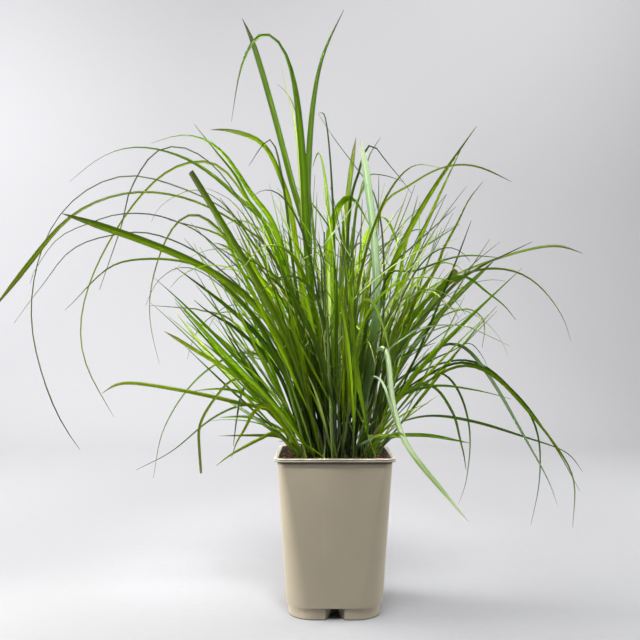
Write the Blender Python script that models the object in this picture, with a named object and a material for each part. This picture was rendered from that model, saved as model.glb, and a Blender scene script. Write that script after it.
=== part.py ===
"""Clump of ornamental grass growing in a tall square nursery pot.

Metres, +Z up. The origin lies under the middle of the pot, on the surface it stands on.
The pot's front faces -Y, and +X is to the right of someone who looks at that front.
"""

import math
import random

import bmesh
import bpy
from mathutils import Quaternion, Vector

MM = 0.001
GAP = 0.3 * MM  # left between pieces that touch

# Pot: half widths, corner radii and heights of its rounded-square sections
RIM_HALF = 86 * MM
RIM_RADIUS = 15.9 * MM
RIM_TOP = 231.8 * MM
RIM_BASE = 226 * MM
LIP_BASE = 229.4 * MM
LIP_INSET = 0.6 * MM
GROOVE_DEPTH = 1.1 * MM
GROOVE_HALF_HEIGHT = 0.4 * MM
LEDGE_WIDTH = 4.6 * MM
WALL_TOP_HALF = 81.5 * MM
WALL_TOP_RADIUS = 11.5 * MM
WALL_BASE_HALF = 70.5 * MM
WALL_BASE_RADIUS = 38 * MM
WALL_THICKNESS = 1.6 * MM
FOOT_HALF = 67 * MM
FOOT_RADIUS = 38 * MM
FOOT_HEIGHT = 17 * MM
FOOT_THICKNESS = 2.8 * MM
FLOOR_THICKNESS = 2.6 * MM
ROUNDING = 0.5 * MM
CORNER_STEPS = 6

# Notch in the middle of each side of the foot: a funnel between two thick pads
PAD_WIDTH = 42 * MM
PAD_DEPTH = 13 * MM
NOTCH_OUTER_WIDTH = 27.5 * MM
NOTCH_INNER_TOP = 10.4 * MM
NOTCH_INNER_BOTTOM = 16 * MM
NOTCH_HEIGHT = 16.2 * MM

# Ring-shaped rib under the floor
RING_RADIUS = 48 * MM
RING_THICKNESS = 2.5 * MM
RING_CLEARANCE = 3 * MM

# Holes: one in the ledge of the rim at each side, and the drainage holes in the floor
EYELET_RADIUS = 1.1 * MM
EYELET_FROM_AXIS = 83.4 * MM
DRAIN_RADIUS = 5 * MM
DRAIN_FROM_AXIS = 38 * MM

# Soil
SOIL_TOP = 224.3 * MM
SOIL_LUMP = 2.5 * MM
SOIL_SHOULDER = 0.94
SOIL_PLATEAU = 0.87

# Grass: where its roots spread, and how its blades and stems are built
CLUMP_X = 6 * MM
ROOT_HEIGHT = SOIL_TOP + GAP
BLADE_RINGS = 16
BLADE_THICKNESS = 1.1 * MM
TIP_WIDTH = 0.8 * MM
STEM_RADIUS = 2.4 * MM
EYE = Vector((-0.021, -1.2, 0.383))  # where the front view is seen from

# Stems: heading in plan (0 is +X, 90 is +Y) of the root and of the lean, distance of the root
# from the clump's middle in mm, length in mm and lean
STEMS = (
    (240, 36, 330, 1),
    (137, 10, 312, 3),
    (275, 14, 294, 5),
    (52, 19, 276, 7),
    (190, 23, 258, 8),
    (328, 28, 240, 10),
    (105, 33, 222, 11),
    (262, 40, 204, 13),
    (56, 40, 186, 15),
)

# Blades read off the front view: name, heading in plan, distance of the root from the clump's
# middle, turn of the broad side away from the front view, width, then points from low to high
# or to the tip as (x, z) in the plane of the pot's axis; all but angles in mm
SEEN_BLADES = (
    ("tall_left", 152, 14, 15, 10,
     [(-42, 555), (-57, 614), (-89, 737), (-121, 846), (-138, 881)]),
    ("tall_arching", 222, 12, 10, 13,
     [(-36, 470), (-48, 678), (-62, 790), (-84, 851), (-103, 861), (-118, 854), (-140, 805), (-154, 725)]),
    ("tall_right", 25, -28, 20, 10,
     [(-38, 560), (-37, 678), (-30, 762), (-16, 828), (15, 894)]),
    ("left_bright_hook", 206, 30, 20, 8,
     [(-60, 560), (-81, 642), (-106, 693), (-133, 705), (-165, 714), (-186, 713)]),
    ("left_high_arch", 190, 30, 15, 9,
     [(-81, 540), (-124, 614), (-168, 681), (-210, 705), (-241, 704), (-274, 693)]),
    ("left_long_arch", 160, 34, 45, 7,
     [(-81, 534), (-133, 602), (-210, 666), (-289, 689), (-348, 674), (-397, 635)]),
    ("left_wide_straight", 212, 40, 10, 16,
     [(-70, 450), (-139, 503), (-225, 530), (-333, 564), (-409, 588)]),
    ("left_farthest", 200, 36, 50, 7,
     [(-80, 500), (-150, 575), (-235, 614), (-319, 617), (-397, 581), (-463, 504), (-515, 440)]),
    ("left_long_hanging", 177, 42, 45, 4.5,
     [(-110, 540), (-270, 640), (-350, 636), (-415, 584), (-448, 503), (-453, 408), (-418, 291),
      (-381, 233)]),
    ("left_back_drop", 146, 30, 50, 4.5,
     [(-70, 480), (-150, 640), (-192, 668), (-256, 648), (-321, 572), (-372, 467), (-378, 377), (-330, 282)]),
    ("left_elbow", 184, 46, 30, 7,
     [(-80, 440), (-171, 561), (-215, 590), (-250, 552), (-274, 479), (-276, 423), (-262, 362)]),
    ("left_blunt", 240, 47, 15, 11,
     [(-60, 400), (-133, 510), (-177, 584), (-216, 650)]),
    ("left_mid_high", 216, 48, 20, 9,
     [(-70, 370), (-148, 441), (-210, 488), (-238, 507)]),
    ("left_mid", 228, 44, 45, 8,
     [(-90, 305), (-162, 368), (-199, 411), (-240, 461)]),
    ("left_mid_low", 204, 52, 30, 8,
     [(-106, 323), (-168, 375), (-208, 411), (-222, 426)]),
    ("left_pale_dip", 194, 54, 40, 8,
     [(-75, 300), (-123, 338), (-172, 356), (-215, 380), (-255, 411)]),
    ("left_drooping", 168, 48, 40, 6,
     [(-75, 330), (-110, 375), (-153, 374), (-211, 333), (-256, 263), (-271, 191)]),
    ("left_long_low", 187, 58, 30, 7,
     [(-81, 285), (-148, 306), (-241, 326), (-318, 335), (-348, 318)]),
    ("left_kinked", 214, 56, 30, 5,
     [(-100, 305), (-145, 340), (-177, 312), (-201, 272), (-202, 243), (-199, 198)]),
    ("left_lowest", 178, 60, 50, 5,
     [(-80, 285), (-130, 300), (-183, 279), (-243, 231), (-297, 203)]),
    ("left_rim_pale", 206, 62, 20, 5.5,
     [(-85, 258), (-108, 252), (-154, 227), (-177, 209)]),
    ("right_silvery", -56, 20, 15, 12,
     [(76, 398), (72, 449), (60, 572), (49, 663), (40, 699)]),
    ("right_olive", 62, 8, 15, 11,
     [(9, 555), (18, 602), (28, 645), (33, 702)]),
    ("right_hook", -12, -15, 15, 12,
     [(-12, 400), (-9, 540), (6, 600), (22, 620), (37, 605), (70, 534), (91, 495)]),
    ("right_high_arch", 28, 28, 45, 5.5,
     [(64, 569), (111, 626), (162, 656), (211, 659), (267, 635)]),
    ("right_upper", -14, 30, 15, 10.5,
     [(50, 440), (82, 537), (129, 602), (175, 681), (214, 719)]),
    ("right_upper_back", 14, 36, 20, 9,
     [(60, 390), (111, 495), (144, 596), (193, 689)]),
    ("right_arch", -28, 40, 50, 6,
     [(73, 482), (117, 500), (187, 525), (252, 521)]),
    ("right_farthest", 30, 44, 50, 5.5,
     [(60, 400), (144, 475), (249, 521), (331, 540), (373, 528)]),
    ("right_shoulder", -8, 44, 35, 6,
     [(90, 400), (181, 490), (246, 507), (300, 488), (343, 435), (355, 396)]),
    ("right_dark_wide", 36, 54, 20, 12,
     [(80, 350), (150, 428), (193, 473), (241, 518)]),
    ("right_straight", -22, 48, 35, 9,
     [(90, 330), (181, 408), (223, 459), (282, 506)]),
    ("right_broken", 18, 52, 15, 11,
     [(70, 350), (150, 447), (184, 503)]),
    ("right_long_drop", -4, 56, 30, 8,
     [(80, 300), (132, 332), (190, 362), (238, 347), (285, 300), (334, 239), (361, 188), (358, 117)]),
    ("right_inner_drop", 10, 50, 35, 7,
     [(80, 310), (150, 385), (193, 392), (238, 338), (282, 261), (322, 188), (335, 150)]),
    ("right_back_drop", 24, 56, 40, 6,
     [(100, 330), (200, 370), (273, 318), (306, 261), (309, 188), (295, 120)]),
    ("right_low_dark", 33, 60, 35, 6.5,
     [(60, 255), (132, 285), (205, 278), (285, 254), (349, 230), (373, 200)]),
    ("right_mid_low", -18, 58, 40, 6.5,
     [(80, 300), (144, 330), (211, 324), (267, 309)]),
    ("right_rim", 6, 62, 30, 7,
     [(80, 250), (138, 254), (205, 243)]),
    ("right_inner_fall", 44, 50, 40, 6,
     [(80, 290), (150, 350), (187, 324), (205, 258), (198, 183), (186, 152)]),
    ("right_pale_hook", -44, 54, 10, 12,
     [(52, 344), (66, 391), (79, 380), (88, 303), (109, 239), (168, 165), (202, 125)]),
)

# Blades that lean towards the front or the back: name, heading, root, turn from level, width,
# then points as (distance from the clump's middle, height)
DEEP_BLADES = (
    ("front_left", -112, 40, 0, 8,
     [(70, 400), (150, 500), (250, 510), (330, 460)]),
    ("front_middle", -84, 48, 20, 8,
     [(90, 340), (190, 430), (290, 440), (380, 400), (430, 352)]),
    ("front_right", -68, 34, -20, 8,
     [(60, 440), (130, 560), (220, 610), (310, 590)]),
    ("front_high", -98, 22, 30, 7,
     [(40, 480), (80, 620), (140, 690), (200, 680)]),
    ("back_left", 114, 44, 10, 8,
     [(80, 390), (180, 500), (290, 500), (360, 430), (390, 350)]),
    ("back_middle", 88, 50, -20, 8,
     [(100, 350), (210, 450), (320, 460), (400, 400), (430, 330)]),
    ("back_right", 68, 36, 20, 8,
     [(60, 450), (140, 580), (240, 620), (330, 570), (380, 500)]),
    ("back_high", 100, 24, 0, 7,
     [(40, 480), (90, 640), (160, 720), (230, 710)]),
)

# Colours: base colour and roughness of each material
POT_PLASTIC = ("pot_plastic", (0.30, 0.27, 0.21), 0.45)
POTTING_SOIL = ("potting_soil", (0.035, 0.022, 0.014), 0.95)
STEM_GREEN = ("stem_green", (0.22, 0.28, 0.07), 0.5)
BLADE_GREEN = ("blade_green", (0.08, 0.22, 0.025), 0.4)


def clear_scene():
    for thing in list(bpy.data.objects):
        bpy.data.objects.remove(thing, do_unlink=True)


def new_collection(name):
    collection = bpy.data.collections.new(name)
    bpy.context.scene.collection.children.link(collection)
    return collection


def new_material(name, colour, roughness):
    material = bpy.data.materials.new(name)
    material.use_nodes = True
    shader = material.node_tree.nodes["Principled BSDF"]
    shader.inputs["Base Color"].default_value = (*colour, 1)
    shader.inputs["Roughness"].default_value = roughness
    shader.inputs["Metallic"].default_value = 0
    material.diffuse_color = (*colour, 1)
    return material


def finish_object(name, mesh, collection, material=None):
    data = bpy.data.meshes.new(name)
    mesh.to_mesh(data)
    mesh.free()
    thing = bpy.data.objects.new(name, data)
    collection.objects.link(thing)
    if material:
        data.materials.append(material)
        data.shade_smooth()
        data.set_sharp_from_angle(angle=math.radians(35))
    return thing


def rounded_square(mesh, half, radius, height):
    """A ring of vertices round a square with rounded corners."""
    ring = []
    for corner in range(4):
        middle = math.radians(45 + 90 * corner)
        to_corner = Vector((math.copysign(1, math.cos(middle)), math.copysign(1, math.sin(middle)), 0))
        centre = to_corner * (half - radius) + Vector((0, 0, height))
        for step in range(CORNER_STEPS + 1):
            angle = math.radians(90 * (corner + step / CORNER_STEPS))
            offset = Vector((math.cos(angle), math.sin(angle), 0)) * radius
            ring.append(mesh.verts.new(centre + offset))
    return ring


def join_rings(mesh, lower, upper):
    count = len(lower)
    for i in range(count):
        j = (i + 1) % count
        mesh.faces.new((lower[i], lower[j], upper[j], upper[i]))


def loft(sections):
    """A closed solid through rounded-square sections, each (half, radius, height)."""
    mesh = bmesh.new()
    rings = [rounded_square(mesh, *section) for section in sections]
    for lower, upper in zip(rings, rings[1:]):
        join_rings(mesh, lower, upper)
    mesh.faces.new(rings[0])
    mesh.faces.new(rings[-1])
    bmesh.ops.recalc_face_normals(mesh, faces=mesh.faces)
    return mesh


def wall_section(height, inset):
    """Half width and corner radius of the pot's wall at a height, set in from its outside."""
    share = (height - FOOT_HEIGHT) / (RIM_BASE - FOOT_HEIGHT)
    half = WALL_BASE_HALF + (WALL_TOP_HALF - WALL_BASE_HALF) * share
    radius = WALL_BASE_RADIUS + (WALL_TOP_RADIUS - WALL_BASE_RADIUS) * share
    return half - inset, radius - inset


def pot_sections():
    """The pot's sections: up the foot's inside, out, up the wall to the rim, and down inside."""
    foot_inside = FOOT_HALF - FOOT_THICKNESS
    foot_inside_radius = FOOT_RADIUS - FOOT_THICKNESS
    lip_half = RIM_HALF - LIP_INSET
    lip_radius = RIM_RADIUS - LIP_INSET
    groove_half = RIM_HALF - GROOVE_DEPTH
    groove_radius = RIM_RADIUS - GROOVE_DEPTH
    inner_edge = RIM_HALF - LIP_INSET - LEDGE_WIDTH
    inner_radius = RIM_RADIUS - LIP_INSET - LEDGE_WIDTH
    floor_top = FOOT_HEIGHT + FLOOR_THICKNESS
    inside_top = RIM_TOP - 2 * ROUNDING
    return [
        (foot_inside, foot_inside_radius, FOOT_HEIGHT),
        (foot_inside, foot_inside_radius, 0),
        (FOOT_HALF - ROUNDING, FOOT_RADIUS - ROUNDING, 0),
        (FOOT_HALF, FOOT_RADIUS, ROUNDING),
        (FOOT_HALF, FOOT_RADIUS, FOOT_HEIGHT - 2 * ROUNDING),
        (FOOT_HALF - ROUNDING, FOOT_RADIUS - ROUNDING, FOOT_HEIGHT),
        (WALL_BASE_HALF - ROUNDING, WALL_BASE_RADIUS, FOOT_HEIGHT + ROUNDING / 2),
        (WALL_BASE_HALF, WALL_BASE_RADIUS, FOOT_HEIGHT + 2 * ROUNDING),
        (WALL_TOP_HALF, WALL_TOP_RADIUS, RIM_BASE),
        (RIM_HALF - ROUNDING, RIM_RADIUS - ROUNDING, RIM_BASE),
        (RIM_HALF, RIM_RADIUS, RIM_BASE + ROUNDING),
        (RIM_HALF, RIM_RADIUS, LIP_BASE - 2 * GROOVE_HALF_HEIGHT),
        (groove_half, groove_radius, LIP_BASE - GROOVE_HALF_HEIGHT),
        (groove_half, groove_radius, LIP_BASE + GROOVE_HALF_HEIGHT),
        (lip_half, lip_radius, LIP_BASE + 2 * GROOVE_HALF_HEIGHT),
        (lip_half, lip_radius, RIM_TOP - 2 * ROUNDING),
        (lip_half - ROUNDING, lip_radius - ROUNDING, RIM_TOP),
        (inner_edge, inner_radius, RIM_TOP),
        (*wall_section(inside_top, WALL_THICKNESS), inside_top),
        (*wall_section(floor_top + 2 * ROUNDING, WALL_THICKNESS), floor_top + 2 * ROUNDING),
        (*wall_section(floor_top, WALL_THICKNESS + 2 * ROUNDING), floor_top),
    ]


def block(name, size, centre, quarter, collection):
    """A box of a side of the pot, made for the front and turned by quarter turns about Z."""
    mesh = bmesh.new()
    bmesh.ops.create_cube(mesh, size=1)
    bmesh.ops.scale(mesh, vec=size, verts=mesh.verts)
    bmesh.ops.translate(mesh, vec=centre, verts=mesh.verts)
    turn = Quaternion((0, 0, 1), math.radians(90 * quarter)).to_matrix()
    bmesh.ops.rotate(mesh, cent=(0, 0, 0), matrix=turn, verts=mesh.verts)
    return finish_object(name, mesh, collection)


def notch_cutter(quarter, collection):
    """The funnel of a notch: wide at the foot's outside, narrowing to its dark inner mouth."""
    mesh = bmesh.new()
    bmesh.ops.create_cube(mesh, size=2)
    outer = FOOT_HALF + 2 * MM
    inner = FOOT_HALF - PAD_DEPTH - 4 * MM
    for vertex in mesh.verts:
        side, depth, level = vertex.co
        width = NOTCH_OUTER_WIDTH
        if depth > 0:
            width = NOTCH_INNER_TOP if level > 0 else NOTCH_INNER_BOTTOM
        vertex.co.x = side * width / 2
        vertex.co.y = -inner if depth > 0 else -outer
        vertex.co.z = NOTCH_HEIGHT if level > 0 else -1 * MM
    turn = Quaternion((0, 0, 1), math.radians(90 * quarter)).to_matrix()
    bmesh.ops.rotate(mesh, cent=(0, 0, 0), matrix=turn, verts=mesh.verts)
    return finish_object(f"notch_cutter_{quarter}", mesh, collection)


def round_cutter(name, radius, centre, length, collection):
    mesh = bmesh.new()
    bmesh.ops.create_cone(mesh, cap_ends=True, segments=12, radius1=radius, radius2=radius, depth=length)
    bmesh.ops.translate(mesh, vec=centre, verts=mesh.verts)
    return finish_object(name, mesh, collection)


def add_boolean(thing, other, operation):
    other.hide_render = True
    other.display_type = "WIRE"
    modifier = thing.modifiers.new(f"{operation.lower()}_{other.name}", "BOOLEAN")
    modifier.operation = operation
    modifier.solver = "EXACT"
    modifier.object = other


def add_foot_ring(pot, cutters):
    """The rib under the floor, a little short of the surface that the pot stands on."""
    for name, radius, top, operation in (
        ("ring_outside", RING_RADIUS, FOOT_HEIGHT + FLOOR_THICKNESS / 2, "UNION"),
        ("ring_inside", RING_RADIUS - RING_THICKNESS, FOOT_HEIGHT, "DIFFERENCE"),
    ):
        base = RING_CLEARANCE if operation == "UNION" else 0
        cutter = round_cutter(name, radius, (0, 0, (top + base) / 2), top - base, cutters)
        add_boolean(pot, cutter, operation)


def build_pot(parts, cutters, material):
    pot = finish_object("pot", loft(pot_sections()), parts, material)
    pad_inner = FOOT_HALF - PAD_DEPTH
    pad_outer = FOOT_HALF - FOOT_THICKNESS / 2
    pad_size = (PAD_WIDTH, pad_outer - pad_inner, FOOT_HEIGHT + 1 * MM)
    pad_centre = (0, -(pad_outer + pad_inner) / 2, pad_size[2] / 2)
    for quarter in range(4):
        add_boolean(pot, block(f"foot_pad_{quarter}", pad_size, pad_centre, quarter, cutters), "UNION")
    for quarter in range(4):
        add_boolean(pot, notch_cutter(quarter, cutters), "DIFFERENCE")
    add_foot_ring(pot, cutters)
    floor_middle = FOOT_HEIGHT + FLOOR_THICKNESS / 2
    drains = [(0, 0)]
    for quarter in range(4):
        angle = math.radians(45 + 90 * quarter)
        drains.append((DRAIN_FROM_AXIS * math.cos(angle), DRAIN_FROM_AXIS * math.sin(angle)))
    for i, (x, y) in enumerate(drains):
        cutter = round_cutter(f"drain_{i}", DRAIN_RADIUS, (x, y, floor_middle), 20 * MM, cutters)
        add_boolean(pot, cutter, "DIFFERENCE")
    for i, x in enumerate((-EYELET_FROM_AXIS, EYELET_FROM_AXIS)):
        cutter = round_cutter(f"eyelet_{i}", EYELET_RADIUS, (x, 0, RIM_TOP), 30 * MM, cutters)
        add_boolean(pot, cutter, "DIFFERENCE")
    return pot


def build_soil(parts, material):
    """The root ball and potting soil that fill the pot, lumpy along the pot's wall."""
    rng = random.Random(5)
    inset = WALL_THICKNESS + GAP
    base = FOOT_HEIGHT + FLOOR_THICKNESS + GAP
    edge_top = SOIL_TOP - SOIL_LUMP
    half, radius = wall_section(edge_top, inset)
    mesh = loft([
        (*wall_section(base, inset + 2 * ROUNDING), base),
        (*wall_section(base + 2 * ROUNDING, inset), base + 2 * ROUNDING),
        (half, radius, edge_top),
        (half * SOIL_SHOULDER, radius * SOIL_SHOULDER, edge_top),
        (half * SOIL_PLATEAU, radius * SOIL_PLATEAU, SOIL_TOP),
    ])
    for vertex in mesh.verts:
        if abs(vertex.co.z - edge_top) < GAP:
            vertex.co.z += rng.uniform(-SOIL_LUMP, SOIL_LUMP) / 2
    return finish_object("soil", mesh, parts, material)


def smooth_curve(points, count):
    """Points at even steps along a Catmull-Rom curve through the points given."""
    ends = [points[0] * 2 - points[1], *points, points[-1] * 2 - points[-2]]
    fine = []
    steps = 24
    for before, start, end, after in zip(ends, ends[1:], ends[2:], ends[3:]):
        for step in range(steps):
            t = step / steps
            fine.append(
                (start * 2 + (end - before) * t
                 + (before * 2 - start * 5 + end * 4 - after) * t ** 2
                 + (start * 3 - before - end * 3 + after) * t ** 3) / 2
            )
    fine.append(points[-1])
    travelled = [0]
    for a, b in zip(fine, fine[1:]):
        travelled.append(travelled[-1] + (b - a).length)
    even = []
    at = 0
    for i in range(count):
        target = travelled[-1] * i / (count - 1)
        while at < len(fine) - 2 and travelled[at + 1] < target:
            at += 1
        share = (target - travelled[at]) / (travelled[at + 1] - travelled[at])
        even.append(fine[at].lerp(fine[at + 1], share))
    return even


def seen_path(heading, root_distance, seen):
    """The blade's points where the lines of sight through the seen ones meet its own plane."""
    out = Vector((math.cos(heading), math.sin(heading), 0))
    normal = Vector((-out.y, out.x, 0))
    root = Vector((CLUMP_X, 0, ROOT_HEIGHT)) + out * root_distance
    path = [root]
    for x, z in seen:
        sight = Vector((x * MM, 0, z * MM)) - EYE
        path.append(EYE + sight * (normal.dot(root - EYE) / normal.dot(sight)))
    return path


def deep_path(heading, root_distance, profile):
    """The blade's points from distances and heights in its own plane."""
    out = Vector((math.cos(heading), math.sin(heading), 0))
    middle = Vector((CLUMP_X, 0, 0))
    path = [middle + out * root_distance + Vector((0, 0, ROOT_HEIGHT))]
    for distance, height in profile:
        path.append(middle + out * distance * MM + Vector((0, 0, height * MM)))
    return path


def blade_width(share, width):
    """Width along the blade: a narrow folded base, full by a third, and a long fine tip."""
    base = 0.5 + 0.5 * math.sin(min(share / 0.35, 1) * math.pi / 2)
    taper = 1 - max(0, (share - 0.5) / 0.5) ** 2
    return TIP_WIDTH + (width - TIP_WIDTH) * base * taper


def match_diagonals(mesh):
    """Cuts a bar's sides along matching diagonals, so that a twisted blade's two faces stay apart."""
    for face in list(mesh.faces):
        corners = sorted(face.verts, key=lambda corner: (round(corner.co.z, 4), corner.co.x + corner.co.y))
        if corners[-1].co.z - corners[0].co.z > GAP:
            bmesh.utils.face_split(face, corners[0], corners[-1])


def facing_turn(path, heading):
    """How far a blade turns about its length, from level, to show its broad side in the front view."""
    middle = len(path) // 2
    along = (path[middle + 1] - path[middle - 1]).normalized()
    level = Vector((-math.sin(heading), math.cos(heading), 0))
    facing = along.cross(path[middle] - EYE).normalized()
    if facing.dot(level) < 0:
        facing.negate()
    return math.atan2(along.dot(level.cross(facing)), level.dot(facing))


def build_blade(name, spine, heading, turn, width, parts, material):
    """A folded blade: a bar cut into rings along its length and bent along its spine."""
    mesh = bmesh.new()
    bmesh.ops.create_cube(mesh, size=2)
    lengthwise = [edge for edge in mesh.edges if abs(edge.verts[0].co.z - edge.verts[1].co.z) > 1]
    bmesh.ops.subdivide_edges(mesh, edges=lengthwise, cuts=BLADE_RINGS - 2)
    match_diagonals(mesh)
    level = Vector((-math.sin(heading), math.cos(heading), 0))
    for vertex in mesh.verts:
        share = (vertex.co.z + 1) / 2
        ring = round(share * (BLADE_RINGS - 1))
        before = spine[max(ring - 1, 0)]
        after = spine[min(ring + 1, BLADE_RINGS - 1)]
        along = (after - before).normalized() if ring else Vector((0, 0, 1))
        across = Quaternion(along, turn * min(1, share / 0.3)) @ level
        upward = across.cross(along)
        here = blade_width(share, width)
        fold = here * (0.32 - 0.2 * share)
        edge_side = (vertex.co.x + vertex.co.y) / 2
        face_side = (vertex.co.x - vertex.co.y) / 2
        thickness = BLADE_THICKNESS * (0.4 + 0.6 * here / width)
        lift = fold * abs(edge_side) + face_side * thickness / 2
        vertex.co = spine[ring] + across * edge_side * here / 2 + upward * lift
    return finish_object(f"blade_{name}", mesh, parts, material)


def build_stem(index, heading, distance, length, lean, parts, material):
    """A culm wrapped in its sheaths: a tapered tube with swollen nodes, leaning outwards."""
    out = Vector((math.cos(heading), math.sin(heading), 0))
    root = Vector((CLUMP_X, 0, ROOT_HEIGHT)) + out * distance
    name = f"stem_{index + 1}"
    data = bpy.data.curves.new(name, "CURVE")
    data.dimensions = "3D"
    data.bevel_depth = STEM_RADIUS
    data.bevel_resolution = 1
    data.use_fill_caps = True
    spline = data.splines.new("POLY")
    shares = (0, 0.26, 0.3, 0.34, 0.64, 0.67, 0.7, 1)
    radii = (1, 0.9, 1.12, 0.86, 0.74, 0.92, 0.7, 0.5)
    spline.points.add(len(shares) - 1)
    for point, share, radius in zip(spline.points, shares, radii):
        centre = root + Vector((0, 0, length * share)) + out * lean * length * share ** 1.6
        centre.z += STEM_RADIUS * lean
        point.co = (*centre, 1)
        point.radius = radius
    stem = bpy.data.objects.new(name, data)
    data.materials.append(material)
    parts.objects.link(stem)
    return stem


def main():
    clear_scene()
    parts = new_collection("potted_grass")
    cutters = new_collection("cutters")
    build_pot(parts, cutters, new_material(*POT_PLASTIC))
    build_soil(parts, new_material(*POTTING_SOIL))
    stem_green = new_material(*STEM_GREEN)
    for index, (heading, distance, length, lean) in enumerate(STEMS):
        build_stem(
            index, math.radians(heading), distance * MM, length * MM, math.radians(lean), parts, stem_green,
        )
    blade_green = new_material(*BLADE_GREEN)
    for name, heading, root, turn, width, points in SEEN_BLADES:
        heading = math.radians(heading)
        spine = smooth_curve(seen_path(heading, root * MM, points), BLADE_RINGS)
        turn = facing_turn(spine, heading) + math.radians(turn)
        build_blade(name, spine, heading, turn, width * MM, parts, blade_green)
    for name, heading, root, turn, width, points in DEEP_BLADES:
        heading = math.radians(heading)
        spine = smooth_curve(deep_path(heading, root * MM, points), BLADE_RINGS)
        build_blade(name, spine, heading, math.radians(turn), width * MM, parts, blade_green)


main()
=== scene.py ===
"""Clump of ornamental grass in a tall square nursery pot: the finish of every surface.

Metres, +Z up, the pot's front facing -Y. Sizes named *_MM or kept in tables are millimetres.
The blades and culms that have solids repeat the tables that shape those solids.
"""

import math
import random

import bmesh
import bpy
from mathutils import Matrix, Quaternion, Vector, noise


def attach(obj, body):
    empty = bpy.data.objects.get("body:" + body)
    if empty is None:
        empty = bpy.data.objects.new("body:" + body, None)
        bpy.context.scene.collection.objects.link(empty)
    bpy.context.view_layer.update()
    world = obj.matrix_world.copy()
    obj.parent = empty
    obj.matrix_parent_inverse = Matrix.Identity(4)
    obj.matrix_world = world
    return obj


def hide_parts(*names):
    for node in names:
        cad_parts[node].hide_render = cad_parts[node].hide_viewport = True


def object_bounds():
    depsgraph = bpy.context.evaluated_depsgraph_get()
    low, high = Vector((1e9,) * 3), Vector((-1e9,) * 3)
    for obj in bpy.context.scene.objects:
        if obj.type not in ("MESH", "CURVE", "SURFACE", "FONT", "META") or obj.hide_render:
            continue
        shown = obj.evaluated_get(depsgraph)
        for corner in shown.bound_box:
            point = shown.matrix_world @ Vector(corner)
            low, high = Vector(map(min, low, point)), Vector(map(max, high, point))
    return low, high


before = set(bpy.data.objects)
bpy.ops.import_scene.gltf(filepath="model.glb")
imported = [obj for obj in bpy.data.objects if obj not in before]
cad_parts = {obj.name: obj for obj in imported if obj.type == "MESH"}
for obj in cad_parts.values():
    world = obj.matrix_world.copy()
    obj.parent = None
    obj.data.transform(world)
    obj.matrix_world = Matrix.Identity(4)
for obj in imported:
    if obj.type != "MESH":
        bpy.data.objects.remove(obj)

solid_low, solid_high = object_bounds()

MM = 0.001
GAP = 0.3 * MM
UP = Vector((0, 0, 1))

# Pot: half widths, corner radii and heights of its rounded-square sections
RIM_HALF = 86 * MM
RIM_RADIUS = 15.9 * MM
RIM_TOP = 230.9 * MM
RIM_BASE = 226 * MM
LIP_BASE = 229.1 * MM
LIP_INSET = 0.6 * MM
GROOVE_DEPTH = 2.0 * MM
GROOVE_HALF_HEIGHT = 0.4 * MM
LEDGE_WIDTH = 4.6 * MM
WALL_TOP_HALF = 81.5 * MM
WALL_TOP_RADIUS = 11.5 * MM
WALL_BASE_HALF = 70.5 * MM
WALL_BASE_RADIUS = 38 * MM
WALL_THICKNESS = 1.6 * MM
FOOT_HALF = 67 * MM
FOOT_RADIUS = 38 * MM
FOOT_HEIGHT = 17 * MM
FOOT_THICKNESS = 2.8 * MM
FLOOR_THICKNESS = 2.6 * MM
CORNER_STEPS = 22
PAD_WIDTH = 42 * MM
PAD_DEPTH = 13 * MM
NOTCH_OUTER_WIDTH = 32 * MM
NOTCH_INNER_TOP = 4 * MM
NOTCH_INNER_BOTTOM = 10 * MM
NOTCH_HEIGHT = 16.2 * MM
RING_RADIUS = 48 * MM
RING_THICKNESS = 2.5 * MM
RING_CLEARANCE = 3 * MM
EYELET_RADIUS = 1.1 * MM
EYELET_FROM_AXIS = 83.4 * MM
DRAIN_RADIUS = 5 * MM
DRAIN_FROM_AXIS = 38 * MM

# Soil and clump
SOIL_TOP = 224.3 * MM
ROOT_HEIGHT = SOIL_TOP + GAP
ROOT_SUNK = 3 * MM
CLUMP_MIDDLE = Vector((6 * MM, 0, 0))
CLUMP_RADIUS = 54 * MM
STEM_RADIUS = 2.4 * MM
GOLDEN_ANGLE = math.radians(137.5)
BLADE_THICKNESS = 0.5 * MM
TIP_WIDTH = 0.6 * MM
CHIP_SEED = 11
BLADE_SEED = 3
FILL_SEED = 27

# How much the compost rises towards the wall, from this share of the way there
BANK_FROM = 0.55
BANK_HEIGHT_MM = 20
CHIP_BANK_HEIGHT_MM = 18
CRUMB_HEIGHT_MM = 2.2
LUMP_HEIGHT_MM = 1.6

# A blade's fold, as a share of its width, at its foot and how much of that it loses by its tip;
# the share of its length by which it has turned its broad side; and the waves of a blade's veins
# and a culm's ribs across it, in radians
FOLD_AT_FOOT = 0.40
FOLD_LOST = 0.20
TURNED_BY = 0.3
VEIN_WAVES = 88
RIB_WAVES = 63

# Where along a blade each kind of tip but the cut one starts to narrow, and how suddenly
TIPS = {"pointed": (0.5, 2), "blunt": (0.72, 2.4), "late": (0.91, 1.5)}

# Painted shade in the clump's crowded foot: how it widens with height, and from and to where it fades
DARK_WIDENING = 0.30
DARK_RADII = (60 * MM, 28 * MM)
DARK_HEIGHTS = (230 * MM, 40 * MM)

# Points along the bars that are bent into blades and tubes
FILL_RINGS = 13
ARC_RINGS = 24
HERO_RINGS = 40
TUBE_RINGS = 12
CULM_RINGS = 48

# The camera: level, with its frame raised a little
EYE = Vector((-0.021, -1.2, 0.383))
LENS_MM = 45
FRAME_RAISED = 30 / 640

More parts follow.
